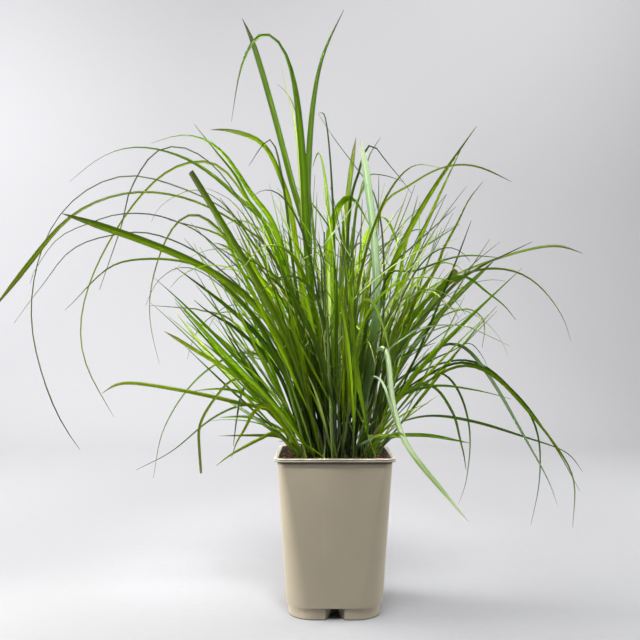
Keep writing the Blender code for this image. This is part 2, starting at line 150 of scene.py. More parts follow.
# Stems: heading in plan (0 is +X, 90 is +Y) of the root and of the lean, distance of the root
# from the clump's middle in mm, length in mm and lean in degrees
STEMS = (
    (240, 36, 330, 1),
    (137, 10, 312, 3),
    (275, 14, 294, 5),
    (52, 19, 276, 7),
    (190, 23, 258, 8),
    (328, 28, 240, 10),
    (105, 33, 222, 11),
    (262, 40, 204, 13),
    (56, 40, 186, 15),
)

# Blades that have solids, read off the front view: name, heading in plan (0 is +X, 90 is +Y),
# distance of the root from the clump's middle, turn of the broad side away from the front
# view, width of the finished blade, then points from low to high or to the tip as (x, z) in
# the plane of the pot's axis; all but angles in mm
SEEN_BLADES = (
    ("tall_left", 152, 14, 15, 10,
     [(-42, 555), (-57, 614), (-89, 737), (-121, 846), (-138, 881)]),
    ("tall_arching", 222, 12, 10, 10.5,
     [(-36, 470), (-48, 678), (-62, 790), (-84, 851), (-103, 861), (-118, 854), (-140, 805), (-154, 725)]),
    ("tall_right", 25, -28, 20, 10,
     [(-38, 560), (-37, 678), (-30, 762), (-16, 828), (15, 894)]),
    ("left_bright_hook", 206, 30, 20, 8,
     [(-60, 560), (-81, 642), (-106, 693), (-133, 705), (-165, 714), (-186, 713)]),
    ("left_high_arch", 190, 30, 15, 9,
     [(-81, 540), (-124, 614), (-168, 681), (-210, 705), (-241, 704), (-274, 693)]),
    ("left_long_arch", 160, 34, 25, 7,
     [(-81, 534), (-133, 602), (-210, 666), (-289, 689), (-348, 674), (-397, 635)]),
    ("left_wide_straight", 212, 40, 10, 9.5,
     [(-70, 450), (-139, 503), (-225, 530), (-333, 564), (-409, 588)]),
    ("left_farthest", 200, 36, 82, 7,
     [(-80, 500), (-150, 575), (-235, 614), (-319, 617), (-397, 581), (-463, 504), (-515, 440)]),
    ("left_long_hanging", 177, 42, 45, 2.8,
     [(-110, 540), (-270, 640), (-350, 636), (-415, 584), (-448, 503), (-453, 408), (-418, 291),
      (-381, 233)]),
    ("left_back_drop", 146, 30, 20, 4.5,
     [(-70, 480), (-150, 640), (-192, 668), (-256, 648), (-321, 572), (-372, 467), (-378, 377), (-330, 282)]),
    ("left_elbow", 184, 46, 30, 5,
     [(-80, 440), (-171, 561), (-215, 590), (-250, 552), (-274, 479), (-276, 423), (-262, 362)]),
    ("left_blunt", 240, 47, 15, 8.5,
     [(-60, 400), (-133, 510), (-177, 584), (-216, 650)]),
    ("left_mid_high", 216, 48, 20, 7.5,
     [(-70, 370), (-148, 441), (-210, 488), (-238, 507)]),
    ("left_mid", 228, 44, 45, 8,
     [(-90, 305), (-162, 368), (-199, 411), (-240, 461)]),
    ("left_mid_low", 204, 52, 30, 8,
     [(-106, 323), (-168, 375), (-208, 411), (-222, 426)]),
    ("left_pale_dip", 194, 54, 40, 8,
     [(-75, 300), (-123, 338), (-172, 356), (-215, 380), (-255, 411)]),
    ("left_drooping", 168, 48, 40, 5,
     [(-75, 330), (-110, 375), (-153, 374), (-211, 333), (-256, 263), (-271, 191)]),
    ("left_long_low", 187, 58, 30, 7,
     [(-81, 285), (-148, 306), (-241, 326), (-318, 335), (-348, 318)]),
    ("left_kinked", 214, 56, 40, 4,
     [(-100, 305), (-145, 340), (-177, 312), (-201, 272), (-202, 243), (-199, 198)]),
    ("left_lowest", 178, 60, 50, 5,
     [(-80, 285), (-130, 300), (-183, 279), (-243, 231), (-297, 203)]),
    ("left_rim_pale", 206, 62, 20, 5.5,
     [(-85, 258), (-108, 252), (-154, 227), (-177, 209)]),
    ("right_silvery", -56, 20, 15, 11.5,
     [(76, 398), (72, 449), (60, 572), (49, 663), (40, 699)]),
    ("right_olive", 62, 8, 15, 8.5,
     [(9, 555), (18, 602), (28, 645), (33, 702)]),
    ("right_hook", -12, -15, 15, 12,
     [(-12, 400), (-9, 540), (6, 600), (22, 620), (37, 605), (70, 534), (91, 495)]),
    ("right_high_arch", 28, 28, 45, 5.5,
     [(64, 569), (111, 626), (162, 656), (211, 659), (267, 635)]),
    ("right_upper", -14, 30, 15, 9.5,
     [(50, 440), (82, 537), (129, 602), (175, 681), (214, 719)]),
    ("right_upper_back", 14, 36, 20, 8,
     [(60, 390), (111, 495), (144, 596), (193, 689)]),
    ("right_arch", -28, 40, 50, 6,
     [(73, 482), (117, 500), (187, 525), (252, 521)]),
    ("right_farthest", 30, 44, 50, 4.5,
     [(60, 400), (144, 475), (249, 521), (331, 540), (373, 528)]),
    ("right_shoulder", -8, 44, 35, 6,
     [(90, 400), (181, 490), (246, 507), (300, 488), (343, 435), (355, 396)]),
    ("right_dark_wide", 36, 54, 20, 9.5,
     [(80, 350), (150, 428), (193, 473), (241, 518)]),
    ("right_straight", -22, 48, 35, 9,
     [(90, 330), (181, 408), (223, 459), (282, 506)]),
    ("right_broken", 18, 52, 15, 11,
     [(70, 350), (150, 447), (184, 503)]),
    ("right_long_drop", -4, 56, 30, 5.5,
     [(80, 300), (132, 332), (190, 362), (238, 347), (285, 300), (334, 239), (361, 188), (358, 117)]),
    ("right_inner_drop", 10, 50, 35, 7,
     [(80, 310), (150, 385), (193, 392), (238, 338), (282, 261), (322, 188), (335, 150)]),
    ("right_back_drop", 24, 56, 40, 6,
     [(100, 330), (200, 370), (273, 318), (306, 261), (309, 188), (295, 120)]),
    ("right_low_dark", 33, 60, 35, 6.5,
     [(60, 255), (132, 285), (205, 278), (285, 254), (349, 230), (373, 200)]),
    ("right_mid_low", -18, 58, 40, 6.5,
     [(80, 300), (144, 330), (211, 324), (267, 309)]),
    ("right_rim", 6, 62, 30, 7,
     [(80, 250), (138, 254), (205, 243)]),
    ("right_inner_fall", 44, 50, 40, 6,
     [(80, 290), (150, 350), (187, 324), (205, 258), (198, 183), (186, 152)]),
    ("right_pale_hook", -44, 54, 10, 8,
     [(52, 344), (66, 391), (79, 380), (88, 303), (109, 239), (168, 165), (202, 125)]),
)

# Blades with solids that lean to the front or the back: name, heading, root, turn from level,
# width, then points as (distance from the clump's middle, height)
DEEP_BLADES = (
    ("front_left", -112, 40, 0, 5.5,
     [(70, 400), (150, 500), (250, 510), (330, 460)]),
    ("front_middle", -84, 48, 20, 5,
     [(90, 340), (190, 430), (290, 440), (380, 400), (430, 352)]),
    ("front_right", -68, 34, -20, 4,
     [(60, 440), (130, 560), (220, 610), (310, 590)]),
    ("front_high", -98, 22, 30, 4,
     [(40, 480), (80, 620), (140, 690), (200, 680)]),
    ("back_left", 114, 44, 10, 8,
     [(80, 390), (180, 500), (290, 500), (360, 430), (390, 350)]),
    ("back_middle", 88, 50, -20, 8,
     [(100, 350), (210, 450), (320, 460), (400, 400), (430, 330)]),
    ("back_right", 68, 36, 20, 8,
     [(60, 450), (140, 580), (240, 620), (330, 570), (380, 500)]),
    ("back_high", 100, 24, 0, 7,
     [(40, 480), (90, 640), (160, 720), (230, 710)]),
)

# How a blade with a solid differs from the fresh, pointed, slightly twisted rest:
# its finish, its tip, how far it twists in degrees, and the share of its length where that starts
BLADE_TRAITS = {
    "tall_arching": ("deep", "pointed", 150, 0.62),
    "tall_left": ("deep", "late", 15, 0.3),
    "tall_right": ("deep", "pointed", -20, 0.3),
    "left_bright_hook": ("grass", "late", 30, 0.7),
    "left_high_arch": ("fresh", "pointed", 50, 0.6),
    "left_long_arch": ("deep", "pointed", 40, 0.6),
    "left_wide_straight": ("grass", "late", 10, 0.3),
    "left_farthest": ("olive", "late", -75, 0.72),
    "left_long_hanging": ("dusky", "late", 100, 0.5),
    "left_back_drop": ("olive", "late", 30, 0.6),
    "left_elbow": ("olive", "pointed", 50, 0.6),
    "left_blunt": ("grass", "cut", 20, 0.4),
    "left_mid_high": ("deep", "pointed", 15, 0.3),
    "left_drooping": ("deep", "pointed", 30, 0.4),
    "left_kinked": ("olive", "cut", 15, 0.3),
    "left_mid": ("fresh", "blunt", 15, 0.3),
    "left_pale_dip": ("olive", "late", 10, 0.3),
    "left_rim_pale": ("olive", "pointed", 20, 0.3),
    "left_long_low": ("olive", "late", 20, 0.4),
    "left_lowest": ("deep", "pointed", 60, 0.5),
    "right_silvery": ("silvery", "late", 10, 0.3),
    "right_olive": ("olive", "late", 15, 0.3),
    "right_hook": ("fresh", "pointed", 110, 0.66),
    "right_high_arch": ("olive", "late", 80, 0.4),
    "right_arch": ("deep", "late", 20, 0.5),
    "right_upper": ("grass", "pointed", 10, 0.3),
    "right_upper_back": ("grass", "pointed", 20, 0.3),
    "right_broken": ("grass", "cut", 10, 0.3),
    "right_dark_wide": ("deep", "blunt", 10, 0.3),
    "right_shoulder": ("olive", "pointed", 50, 0.5),
    "right_low_dark": ("deep", "pointed", 40, 0.4),
    "right_farthest": ("olive", "late", -40, 0.5),
    "right_long_drop": ("grass", "pointed", 30, 0.5),
    "right_inner_drop": ("silvery", "pointed", 20, 0.5),
    "right_back_drop": ("deep", "pointed", 50, 0.5),
    "right_inner_fall": ("deep", "pointed", 60, 0.4),
    "right_pale_hook": ("pale", "blunt", 20, 0.3),
    "front_left": ("grass", "pointed", 20, 0.3),
    "front_middle": ("grass", "pointed", 60, 0.3),
    "front_right": ("olive", "pointed", 20, 0.3),
    "front_high": ("deep", "pointed", 20, 0.3),
}

# Blades that run almost straight, and how often the waves of a stiff or a supple one are evened out
STIFF_BLADES = (
    "left_blunt", "left_wide_straight", "left_mid_high", "left_mid", "left_mid_low", "left_pale_dip",
    "right_silvery", "right_olive", "right_upper", "right_upper_back", "right_dark_wide", "right_straight",
    "right_broken",
)
STIFF_ROUNDS = 150
SUPPLE_ROUNDS = 2

# Finer blades read off the front view, which have no solids of their own: heading, root distance,
# turn away from the front view, width, finish, then points as above
FINE_BLADES = (
    (170, 10, 20, 6, "lime", [(-40, 520), (-50, 640), (-55, 698), (-64, 750), (-70, 770), (-79, 806)]),
    (150, 8, 30, 4, "dusky", [(-30, 560), (-45, 690), (-64, 758), (-85, 782)]),
    (188, 24, 25, 6, "fresh", [(-60, 440), (-103, 569), (-127, 605), (-148, 645), (-177, 681), (-210, 722)]),
    (196, 40, 45, 3, "dusky",
     [(-80, 420), (-180, 540), (-250, 580), (-315, 587), (-369, 572), (-415, 549), (-450, 500), (-456, 482)]),
    (186, 44, 45, 3.5, "dusky",
     [(-80, 400), (-180, 510), (-270, 556), (-346, 552), (-397, 530), (-435, 483), (-468, 440), (-480, 423)]),
    (200, 30, 50, 2.5, "dusky",
     [(-80, 480), (-150, 620), (-210, 680), (-265, 681), (-304, 626), (-318, 572), (-339, 510), (-352, 473)]),
    (172, 48, 40, 5, "olive",
     [(-80, 380), (-170, 490), (-220, 515), (-286, 520), (-339, 506), (-394, 452), (-404, 443)]),
    (220, 34, 20, 7.5, "fresh", [(-60, 420), (-103, 479), (-133, 519), (-165, 540), (-183, 543)]),
    (208, 46, 25, 6, "deep", [(-85, 350), (-145, 413), (-171, 430), (-192, 443), (-210, 458)]),
    (164, 44, 40, 4.5, "dusky", [(-90, 340), (-150, 425), (-199, 443), (-219, 446), (-276, 450)]),
    (196, 52, 25, 6, "fresh", [(-80, 285), (-118, 306), (-148, 321), (-180, 324), (-213, 321)]),
    (216, 56, 20, 6, "olive", [(-72, 262), (-100, 297), (-120, 291), (-135, 264), (-147, 243), (-154, 221)]),
    (186, 62, 35, 5.5, "olive", [(-72, 246), (-88, 255), (-130, 256), (-174, 254)]),
    (168, 60, 35, 5, "fresh", [(-72, 258), (-94, 273), (-130, 283), (-171, 282)]),
    (192, 54, 40, 4, "dusky", [(-80, 300), (-118, 335), (-136, 323), (-145, 285), (-151, 239)]),
    (-20, 8, 35, 5.5, "deep",
     [(20, 560), (38, 655), (49, 686), (61, 689), (79, 666), (102, 638), (117, 617)]),
    (40, 12, 35, 5, "deep", [(30, 560), (45, 630), (52, 672), (70, 702)]),
    (12, 16, 30, 4, "deep", [(20, 480), (40, 620), (52, 645), (79, 644), (105, 635)]),
    (-18, 34, 35, 5.5, "olive", [(80, 390), (150, 501), (162, 531), (184, 572), (202, 608), (223, 635)]),
    (20, 32, 40, 4, "dusky", [(70, 420), (132, 531), (168, 587), (199, 629)]),
    (30, 44, 40, 4.5, "dusky", [(90, 380), (150, 450), (193, 495), (217, 519), (249, 545)]),
    (-26, 44, 35, 4.5, "dusky", [(90, 370), (170, 470), (215, 505), (255, 525), (297, 545)]),
    (-12, 46, 30, 6, "fresh", [(90, 380), (150, 470), (193, 494), (232, 468), (255, 450), (273, 428)]),
    (26, 50, 40, 5, "deep", [(80, 320), (144, 365), (175, 380), (202, 393), (220, 377), (231, 356)]),
    (-8, 58, 40, 5, "deep", [(80, 300), (140, 330), (176, 292), (190, 245), (195, 224), (198, 203)]),
    (2, 56, 30, 5, "grass", [(80, 300), (163, 358), (219, 359), (279, 312), (331, 240), (369, 171)]),
    (-14, 40, 35, 5, "lime", [(60, 380), (84, 452), (112, 480), (150, 470), (180, 440)]),
    (-36, 52, 20, 5.5, "lime", [(42, 246), (62, 253), (84, 254), (106, 250)]),
    (-50, 48, 15, 7, "pale", [(52, 330), (66, 342), (78, 326), (88, 290), (104, 240)]),
    (-62, 30, 30, 5, "lime", [(6, 420), (10, 444), (30, 424), (52, 396), (62, 362)]),
    (-110, 20, 40, 5.5, "lime", [(-8, 470), (-10, 523), (-30, 527), (-46, 520)]),
    (-60, 46, 30, 5, "silvery", [(34, 236), (46, 246), (62, 252)]),
    (210, 22, 20, 4.5, "deep", [(-56, 470), (-72, 600), (-84, 672), (-94, 697), (-106, 692), (-128, 659)]),
    (-24, 30, 30, 3.5, "dusky",
     [(70, 400), (73, 540), (60, 615), (39, 648), (24, 668), (-1, 702), (-24, 738)]),
    (190, 30, 35, 3, "olive",
     [(-80, 440), (-150, 580), (-190, 618), (-219, 621), (-246, 609), (-264, 594), (-274, 575)]),
    (198, 36, 25, 5, "grass", [(-70, 400), (-120, 490), (-153, 539), (-177, 558), (-219, 571), (-247, 578)]),
    (184, 44, 40, 3, "dusky",
     [(-80, 380), (-150, 460), (-200, 500), (-234, 506), (-258, 492), (-271, 476), (-283, 449)]),
    (206, 30, 30, 5, "deep", [(-60, 430), (-95, 500), (-129, 554), (-150, 585), (-171, 611)]),
    (200, 28, 30, 5.5, "olive", [(-60, 450), (-105, 540), (-147, 599), (-171, 617), (-192, 626)]),
    (214, 30, 15, 9, "grass", [(-60, 380), (-88, 440), (-111, 488), (-129, 530), (-150, 578)]),
    (224, 44, 20, 7.5, "deep", [(-66, 330), (-90, 380), (-120, 430), (-160, 474), (-186, 496)]),
    (-30, 50, 20, 2.5, "pale", [(70, 360), (110, 405), (140, 418), (180, 420), (225, 414)]),
    (-24, 52, 25, 2.5, "pale", [(80, 350), (130, 400), (165, 418), (200, 418), (264, 389)]),
    (10, 46, 40, 3.5, "olive", [(80, 360), (150, 425), (195, 444), (219, 435), (226, 416), (222, 386)]),
    (-16, 40, 20, 5, "lime", [(70, 400), (120, 480), (155, 512), (177, 512), (192, 503), (195, 482)]),
)

# Sheaths of the foremost shoots, read off the front view: heading, root distance, radius at the
# foot, then points as above
FRONT_SHEATHS = (
    (216, 58, 3.0, [(-51, 264), (-61, 299), (-70, 330), (-82, 366)]),
    (228, 50, 1.6, [(-41, 262), (-55, 304), (-70, 350), (-84, 392)]),
    (240, 42, 2.2, [(-22, 257), (-31, 278), (-44, 318), (-58, 360)]),
    (246, 54, 1.5, [(-11, 268), (-8, 288), (-4, 317), (-1, 330), (6, 372)]),
    (262, 56, 2.2, [(-4, 268), (-5, 310), (-8, 352), (-9, 396), (-13, 452)]),
    (288, 40, 2.2, [(10, 252), (16, 278), (24, 306), (32, 342)]),
    (306, 46, 2.6, [(23, 257), (30, 278), (38, 304), (44, 324), (54, 362)]),
    (310, 38, 1.9, [(10, 272), (22, 292), (33, 310), (41, 326), (56, 352)]),
    (318, 56, 2.0, [(41, 252), (49, 272), (58, 292), (63, 310), (66, 340)]),
    (330, 60, 1.5, [(63, 232), (74, 246), (84, 262), (98, 282)]),
    (334, 64, 1.2, [(70, 234), (84, 248), (96, 262)]),
    (206, 62, 2.0, [(-58, 228), (-68, 244), (-81, 258), (-98, 276)]),
    (212, 60, 2.0, [(-47, 226), (-62, 258), (-76, 280), (-92, 306)]),
)

# The clump's fill: shoots with a sheath each, and the blades that leave it, with the weights of
# their finishes; angles in radians, lengths and widths named _MM in mm
SHOOT_COUNT = 48
BLADES_PER_SHOOT = (3, 4, 4, 5)
SHEATH_LENGTHS_MM = (60, 130)
SHEATH_RADII_MM = (1.3, 2.7)
SHEATH_BEND = 0.08
LEAN_AT_MIDDLE = 0.05
LEAN_GAINED = 0.56
SHORTEST_MM = 180
LONGEST_UPRIGHT_MM = 330
LONGER_BY_LEAN_MM = 300
FIRST_LEAF_RING = 5
LEAF_RINGS = 6
LEAF_TRIES = 16
FILL_WIDTHS_MM = (1.8, 8.0, 3.9)
FILL_FINISHES = {"fresh": 44, "grass": 22, "deep": 24, "olive": 6, "silvery": 2, "lime": 2}
POINTED_SHARE = 0.93
DROOPING_SHARE = 0.14
DOME_RADIUS = 335 * MM
DOME_HEIGHT = 425 * MM
DOME_POWER = 2.5
TO_THE_LEFT = Vector((-0.06, 0, 0))
SKIRT_FROM_AXIS = 60 * MM
SKIRT_SLOPE = 0.9
BARK_CHIPS = 700

# The finer leaves of the clump: how many, their lengths and widths in mm, how they lean and bend
# in radians, and the weights of their finishes
LOOSE_TRIES = 20
FINE_ARCS = 24
ARC_START = 60 * MM
ARC_LENGTHS_MM = (360, 620)
ARC_WIDTHS_MM = (2.0, 3.8)
ARC_LEANS = (0.25, 0.75)
ARC_BENDS = (0.9, 2.2)
ARC_FINISHES = {"fresh": 30, "deep": 26, "dusky": 30, "olive": 14}
SHORT_BLADES = 40
SHORT_LENGTHS_MM = (70, 230)
SHORT_WIDTHS_MM = (2.2, 5.5)
SHORT_LEANS = (0.25, 0.95)
SHORT_BENDS = (0, 0.9)
SHORT_FINISHES = {"fresh": 45, "deep": 28, "olive": 12, "silvery": 6, "lime": 9, "straw": 2}
THREADS = 200
THREAD_HEIGHTS_MM = (90, 330)
THREAD_LENGTHS_MM = (80, 230)
THREAD_WIDTHS_MM = (1.3, 2.8)
THREAD_LEANS = (0.05, 1.1)
THREAD_BENDS = (-0.1, 0.4)
THREAD_FINISHES = {"lime": 24, "pale": 12, "dusky": 16, "fresh": 30, "deep": 16, "straw": 1}

# The outline that the arcs keep to in the front view, above the soil
OUTLINE_REACH = 330 * MM
OUTLINE_HEIGHT = 430 * MM

# Blades that the fill leaves in view from the front and the height from which it does, the
# squares in which that is tested, and how far forward a leaf is that could hide them
KEPT_IN_VIEW = {"right_pale_hook": 0, "right_silvery": 450 * MM, "right_hook": 0}
VIEW_CELL = 7 * MM
HIDES_FROM = -15 * MM

# How far the fill keeps from the pot's rim, from the pot as it is seen, and from the solids' box
RIM_INSIDE_MARGIN = 12 * MM
RIM_OUTSIDE_MARGIN = 6 * MM
RIM_ABOVE_MARGIN = 5 * MM
SEEN_SIDE_MARGIN = 12 * MM
SEEN_ABOVE_MARGIN = 4 * MM
BOX_MARGIN = 12 * MM

WARM = (1.0, 0.985, 0.96)
COOL = (0.98, 0.99, 1.0)


class Wire:
    """An output socket on which Python's arithmetic adds Math nodes."""

    def __init__(self, finish, socket):
        self.finish = finish
        self.socket = socket

    def maths(self, operation, other=0.0, swapped=False):
        terms = (other, self) if swapped else (self, other)
        return self.finish.node("Math", {0: terms[0], 1: terms[1]}, operation=operation)

    def __add__(self, other):
        return self.maths("ADD", other)

    def __sub__(self, other):
        return self.maths("SUBTRACT", other)

    def __mul__(self, other):
        return self.maths("MULTIPLY", other)

    def __pow__(self, other):
        return self.maths("POWER", other)

    def __rsub__(self, other):
        return self.maths("SUBTRACT", other, swapped=True)

    __radd__ = __add__
    __rmul__ = __mul__

    def sine(self):
        return self.maths("SINE")

    def size(self):
        return self.maths("ABSOLUTE")

    def from_to(self, low, high):
        """0 below low, 1 above high and smooth between them; the other way round if low > high."""
        inputs = {"Value": self, "From Min": low, "From Max": high}
        return self.finish.node("MapRange", inputs, interpolation_type="SMOOTHSTEP")


class Finish:
    """A material being made: its nodes, and the one method that adds a node."""

    def __init__(self, name):
        self.material = bpy.data.materials.new(name)
        self.material.use_nodes = True
        self.nodes = self.material.node_tree.nodes
        self.links = self.material.node_tree.links
        self.nodes.clear()

    def node(self, kind, inputs, output=0, **settings):
        made = self.nodes.new("ShaderNode" + kind)
        for name, value in settings.items():
            if name == "stops":
                self.set_stops(made.color_ramp, value)
            else:
                setattr(made, name, value)
        for key, value in inputs.items():
            if isinstance(value, Wire):
                self.links.new(value.socket, made.inputs[key])
            else:
                made.inputs[key].default_value = value
        return Wire(self, made.outputs[output])

    @staticmethod
    def set_stops(ramp, stops):
        while len(ramp.elements) < len(stops):
            ramp.elements.new(0.5)
        for element, (position, colour) in zip(ramp.elements, stops):
            element.position = position
            element.color = (*colour, 1)

    def ramp(self, factor, *stops):
        return self.node("ValToRGB", {0: factor}, stops=stops)

    def mix(self, factor, first, second):
        inputs = {0: factor, 6: rgba(first), 7: rgba(second)}
        return self.node("Mix", inputs, output=2, data_type="RGBA")

    def place(self, scale=(1, 1, 1)):
        """Object coordinates, stretched by scale."""
        place = self.node("TexCoord", {}, output="Object")
        return self.node("Mapping", {"Vector": place, "Scale": scale})

    def along_axis(self, axis):
        """One of the object coordinates: X, Y or Z."""
        return self.node("SeparateXYZ", {0: self.place()}, output=axis)

    def from_axis(self):
        """How far a point is from the pot's upright axis."""
        flat = self.place((1, 1, 0))
        return self.node("VectorMath", {0: flat}, output="Value", operation="LENGTH")

    def blade_sheet(self):
        """The place across and along a blade, and the tone that was drawn for it."""
        sheet = self.node("UVMap", {}, uv_map="blade")
        across = self.node("SeparateXYZ", {0: sheet}, output="X")
        along = self.node("SeparateXYZ", {0: sheet}, output="Y")
        return across, along, self.node("Attribute", {}, output="Fac", attribute_name="tone")

    def deep_inside(self):
        """How much painted shade a leaf gets: 1 in the crowded foot of the clump, 0 out in the open."""
        height = self.along_axis("Z") - SOIL_TOP
        crowded = (self.from_axis() - height * DARK_WIDENING).from_to(*DARK_RADII)
        return crowded * height.from_to(*DARK_HEIGHTS)

    def noise(self, place, scale, detail, roughness=0.55):
        inputs = {"Vector": place, "Scale": scale, "Detail": detail, "Roughness": roughness}
        return self.node("TexNoise", inputs)

    def bump(self, height, distance, strength):
        inputs = {"Height": height, "Distance": distance, "Strength": strength}
        return self.node("Bump", inputs, output="Normal")

    def surface(self, colour, roughness, normal=None, gloss=0.5):
        inputs = {"Base Color": rgba(colour), "Roughness": roughness, "Specular IOR Level": gloss}
        if normal:
            inputs["Normal"] = normal
        return self.node("BsdfPrincipled", inputs)

    def done(self, shader):
        end = self.nodes.new("ShaderNodeOutputMaterial")
        self.links.new(shader.socket, end.inputs["Surface"])
        return self.material


def rgba(colour):
    return colour if isinstance(colour, Wire) else (*colour, 1)


def pot_finish():
    """Taupe moulded plastic: a satin skin with a fine grain, flow marks and a little soil dust.

    Painted shade lies in thin dark lines under the rim, in its groove, at the foot's seam and along
    the foot's bottom edge, and near-black on the ring rib behind the notches; the rim's top has a
    painted highlight.
    """
    f = Finish("pot_taupe_plastic")
    place = f.place()
    cloud = f.noise(place, 9, 2)
    grain = f.noise(place, 1500, 2)
    flow = f.noise(f.place((1, 1, 0.12)), 55, 3)
    height = f.along_axis("Z")
    colour = f.mix(cloud.from_to(0.3, 0.7), (0.296, 0.256, 0.184), (0.318, 0.275, 0.198))
    colour = f.mix(flow.from_to(0.55, 0.8) * 0.25, colour, (0.350, 0.307, 0.228))
    dust = f.noise(place, 240, 4).from_to(0.58, 0.72)
    near_soil = height.from_to(RIM_TOP - 14 * MM, RIM_TOP - 1 * MM) * 0.35
    near_floor = height.from_to(5 * MM, 0) * 0.5
    colour = f.mix(dust * (near_soil + near_floor), colour, (0.10, 0.075, 0.05))
    # Painted shade: thin dark lines under the rim, in its groove, at the foot's seam and along the foot's
    # bottom edge
    under_rim = height.from_to(RIM_BASE - 5.0 * MM, RIM_BASE - 1.5 * MM)
    under_rim = under_rim * height.from_to(RIM_BASE + 1.5 * MM, RIM_BASE + 0.1 * MM)
    in_groove = (height - LIP_BASE).size().from_to(0.7 * MM, 0.3 * MM)
    at_seam = height.from_to(FOOT_HEIGHT - 1.3 * MM, FOOT_HEIGHT - 0.9 * MM)
    at_seam = at_seam * height.from_to(FOOT_HEIGHT + 0.6 * MM, FOOT_HEIGHT + 0.1 * MM)
    at_floor = height.from_to(2.0 * MM, 0.9 * MM)
    painted_shade = under_rim * 0.97 + in_groove * 0.7 + at_seam * 0.95 + at_floor * 0.8
    colour = f.mix(painted_shade, colour, (0.018, 0.016, 0.010))
    # Painted highlight: a pale line along the rim's top edge
    painted_rim_highlight = height.from_to(RIM_TOP - 1.2 * MM, RIM_TOP - 0.8 * MM)
    colour = f.mix(painted_rim_highlight * 0.75, colour, (0.80, 0.72, 0.58))
    # Painted shade, near-black, on the ring rib seen through the notches
    from_axis = f.from_axis()
    on_ring = from_axis.from_to(RING_RADIUS + 1.0 * MM, RING_RADIUS + 0.3 * MM)
    on_ring = on_ring * from_axis.from_to(RING_RADIUS - 1.6 * MM, RING_RADIUS - 0.8 * MM)
    painted_notch_shade = on_ring * height.from_to(FOOT_HEIGHT, FOOT_HEIGHT - 0.5 * MM)
    colour = f.mix(painted_notch_shade, colour, (0.010, 0.008, 0.006))
    roughness = 0.27 + flow * 0.10 + grain * 0.06
    normal = f.bump(grain + flow * 0.6, 0.06 * MM, 0.5)
    return f.done(f.surface(colour, roughness, normal))


def soil_finish():
    """Dark bark compost: near-black humus with brown crumbs and a few paler fibres."""
    f = Finish("bark_compost")
    place = f.place()
    crumbs = f.node("TexVoronoi", {"Vector": place, "Scale": 260.0}, output="Distance")
    speckle = f.noise(place, 420, 4, 0.65)
    damp = f.noise(place, 34, 3)
    colour = f.ramp(
        speckle * 0.75 + damp * 0.35,
        (0.38, (0.004, 0.003, 0.002)), (0.52, (0.018, 0.010, 0.006)),
        (0.63, (0.060, 0.030, 0.016)), (0.74, (0.16, 0.09, 0.05)),
    )
    roughness = 0.98 - speckle.from_to(0.6, 0.8) * 0.2
    normal = f.bump(crumbs * 0.7 + speckle, 1.2 * MM, 0.8)
    return f.done(f.surface(colour, roughness, normal))


def chip_finish():
    """Bark chips: reddish brown with a fibrous, darker side."""
    f = Finish("bark_chips")
    fibres = f.noise(f.place((1, 1, 6)), 220, 4, 0.6)
    patch = f.noise(f.place(), 70, 2)
    colour = f.ramp(
        fibres * 0.5 + patch * 0.5,
        (0.36, (0.006, 0.003, 0.002)), (0.48, (0.045, 0.020, 0.011)),
        (0.58, (0.15, 0.070, 0.040)), (0.68, (0.40, 0.26, 0.18)),
    )
    normal = f.bump(fibres, 0.6 * MM, 0.8)
    return f.done(f.surface(colour, 0.88 - fibres * 0.15, normal))


def leaf_finish(name, shade, light, rib, base, tip, glow, roughness, veil, lit=0.30, green_to=0.0,
                green_from=0.0):
    """Leaf blade: lengthwise veins, a pale midrib, a pale foot, a drier tip, painted shade deep in the
    clump's foot, and light through it.

    shade and light are the ends of its green, glow the colour that light takes on through it,
    lit the share of light that goes through, veil how much its lower side differs, and green_to
    and green_from the shares of its length up to which and from which a sun-faded blade is green.
    """
    f = Finish("leaf_" + name)
    across, along, tone = f.blade_sheet()
    below = across.from_to(0.999, 1.001)
    side = (across.maths("FRACT") - 0.5).size() * 2
    streaks = f.node("CombineXYZ", {0: across * 3.4, 1: along * 2.2, 2: tone * 40})
    streak = f.noise(streaks, 1, 3, 0.6)
    patch = f.noise(f.place(), 22, 2)
    blend = (tone * 0.70 + streak * 0.55 + patch * 0.15).from_to(0.38, 1.04)
    colour = f.mix(blend, shade, light)
    veins = ((across * VEIN_WAVES).sine() * 0.5 + 0.5) ** 2
    colour = f.mix(veins * 0.16, colour, rib)
    colour = f.mix(side.from_to(0.16, 0.03) * 0.55, colour, rib)
    colour = f.mix(below * veil, colour, (0.15, 0.25, 0.015))
    foot = along.from_to(0.13, 0.01) * (0.05 + tone * 0.5)
    colour = f.mix(foot, colour, base)
    colour = f.mix(side.from_to(0.66, 0.98) * 0.6, colour, tuple(part * 0.35 for part in shade))
    if green_to:
        colour = f.mix(along.from_to(green_to, green_to - 0.2) * 0.9, colour, (0.05, 0.11, 0.010))
    if green_from:
        colour = f.mix(along.from_to(green_from, green_from + 0.14) * 0.8, colour, (0.13, 0.20, 0.04))
    worn = (along + streak * 0.10 + tone * 0.06).from_to(0.96, 1.08)
    colour = f.mix(worn, colour, tip)
    # Painted shade, near-black, on leaves deep in the clump's crowded foot
    colour = f.mix(f.deep_inside() * 0.94, colour, (0.002, 0.005, 0.001))
    matt = roughness + streak * 0.16 - veins * 0.05
    normal = f.bump(veins * 0.35 + side.from_to(0.14, 0.04) * (1 - below) * -1.0, 0.12 * MM, 0.6)
    skin = f.surface(colour, matt, normal, gloss=0.10)
    through = f.node("BsdfTranslucent", {"Color": rgba(glow)})
    return f.done(f.node("MixShader", {0: lit, 1: skin, 2: through}))


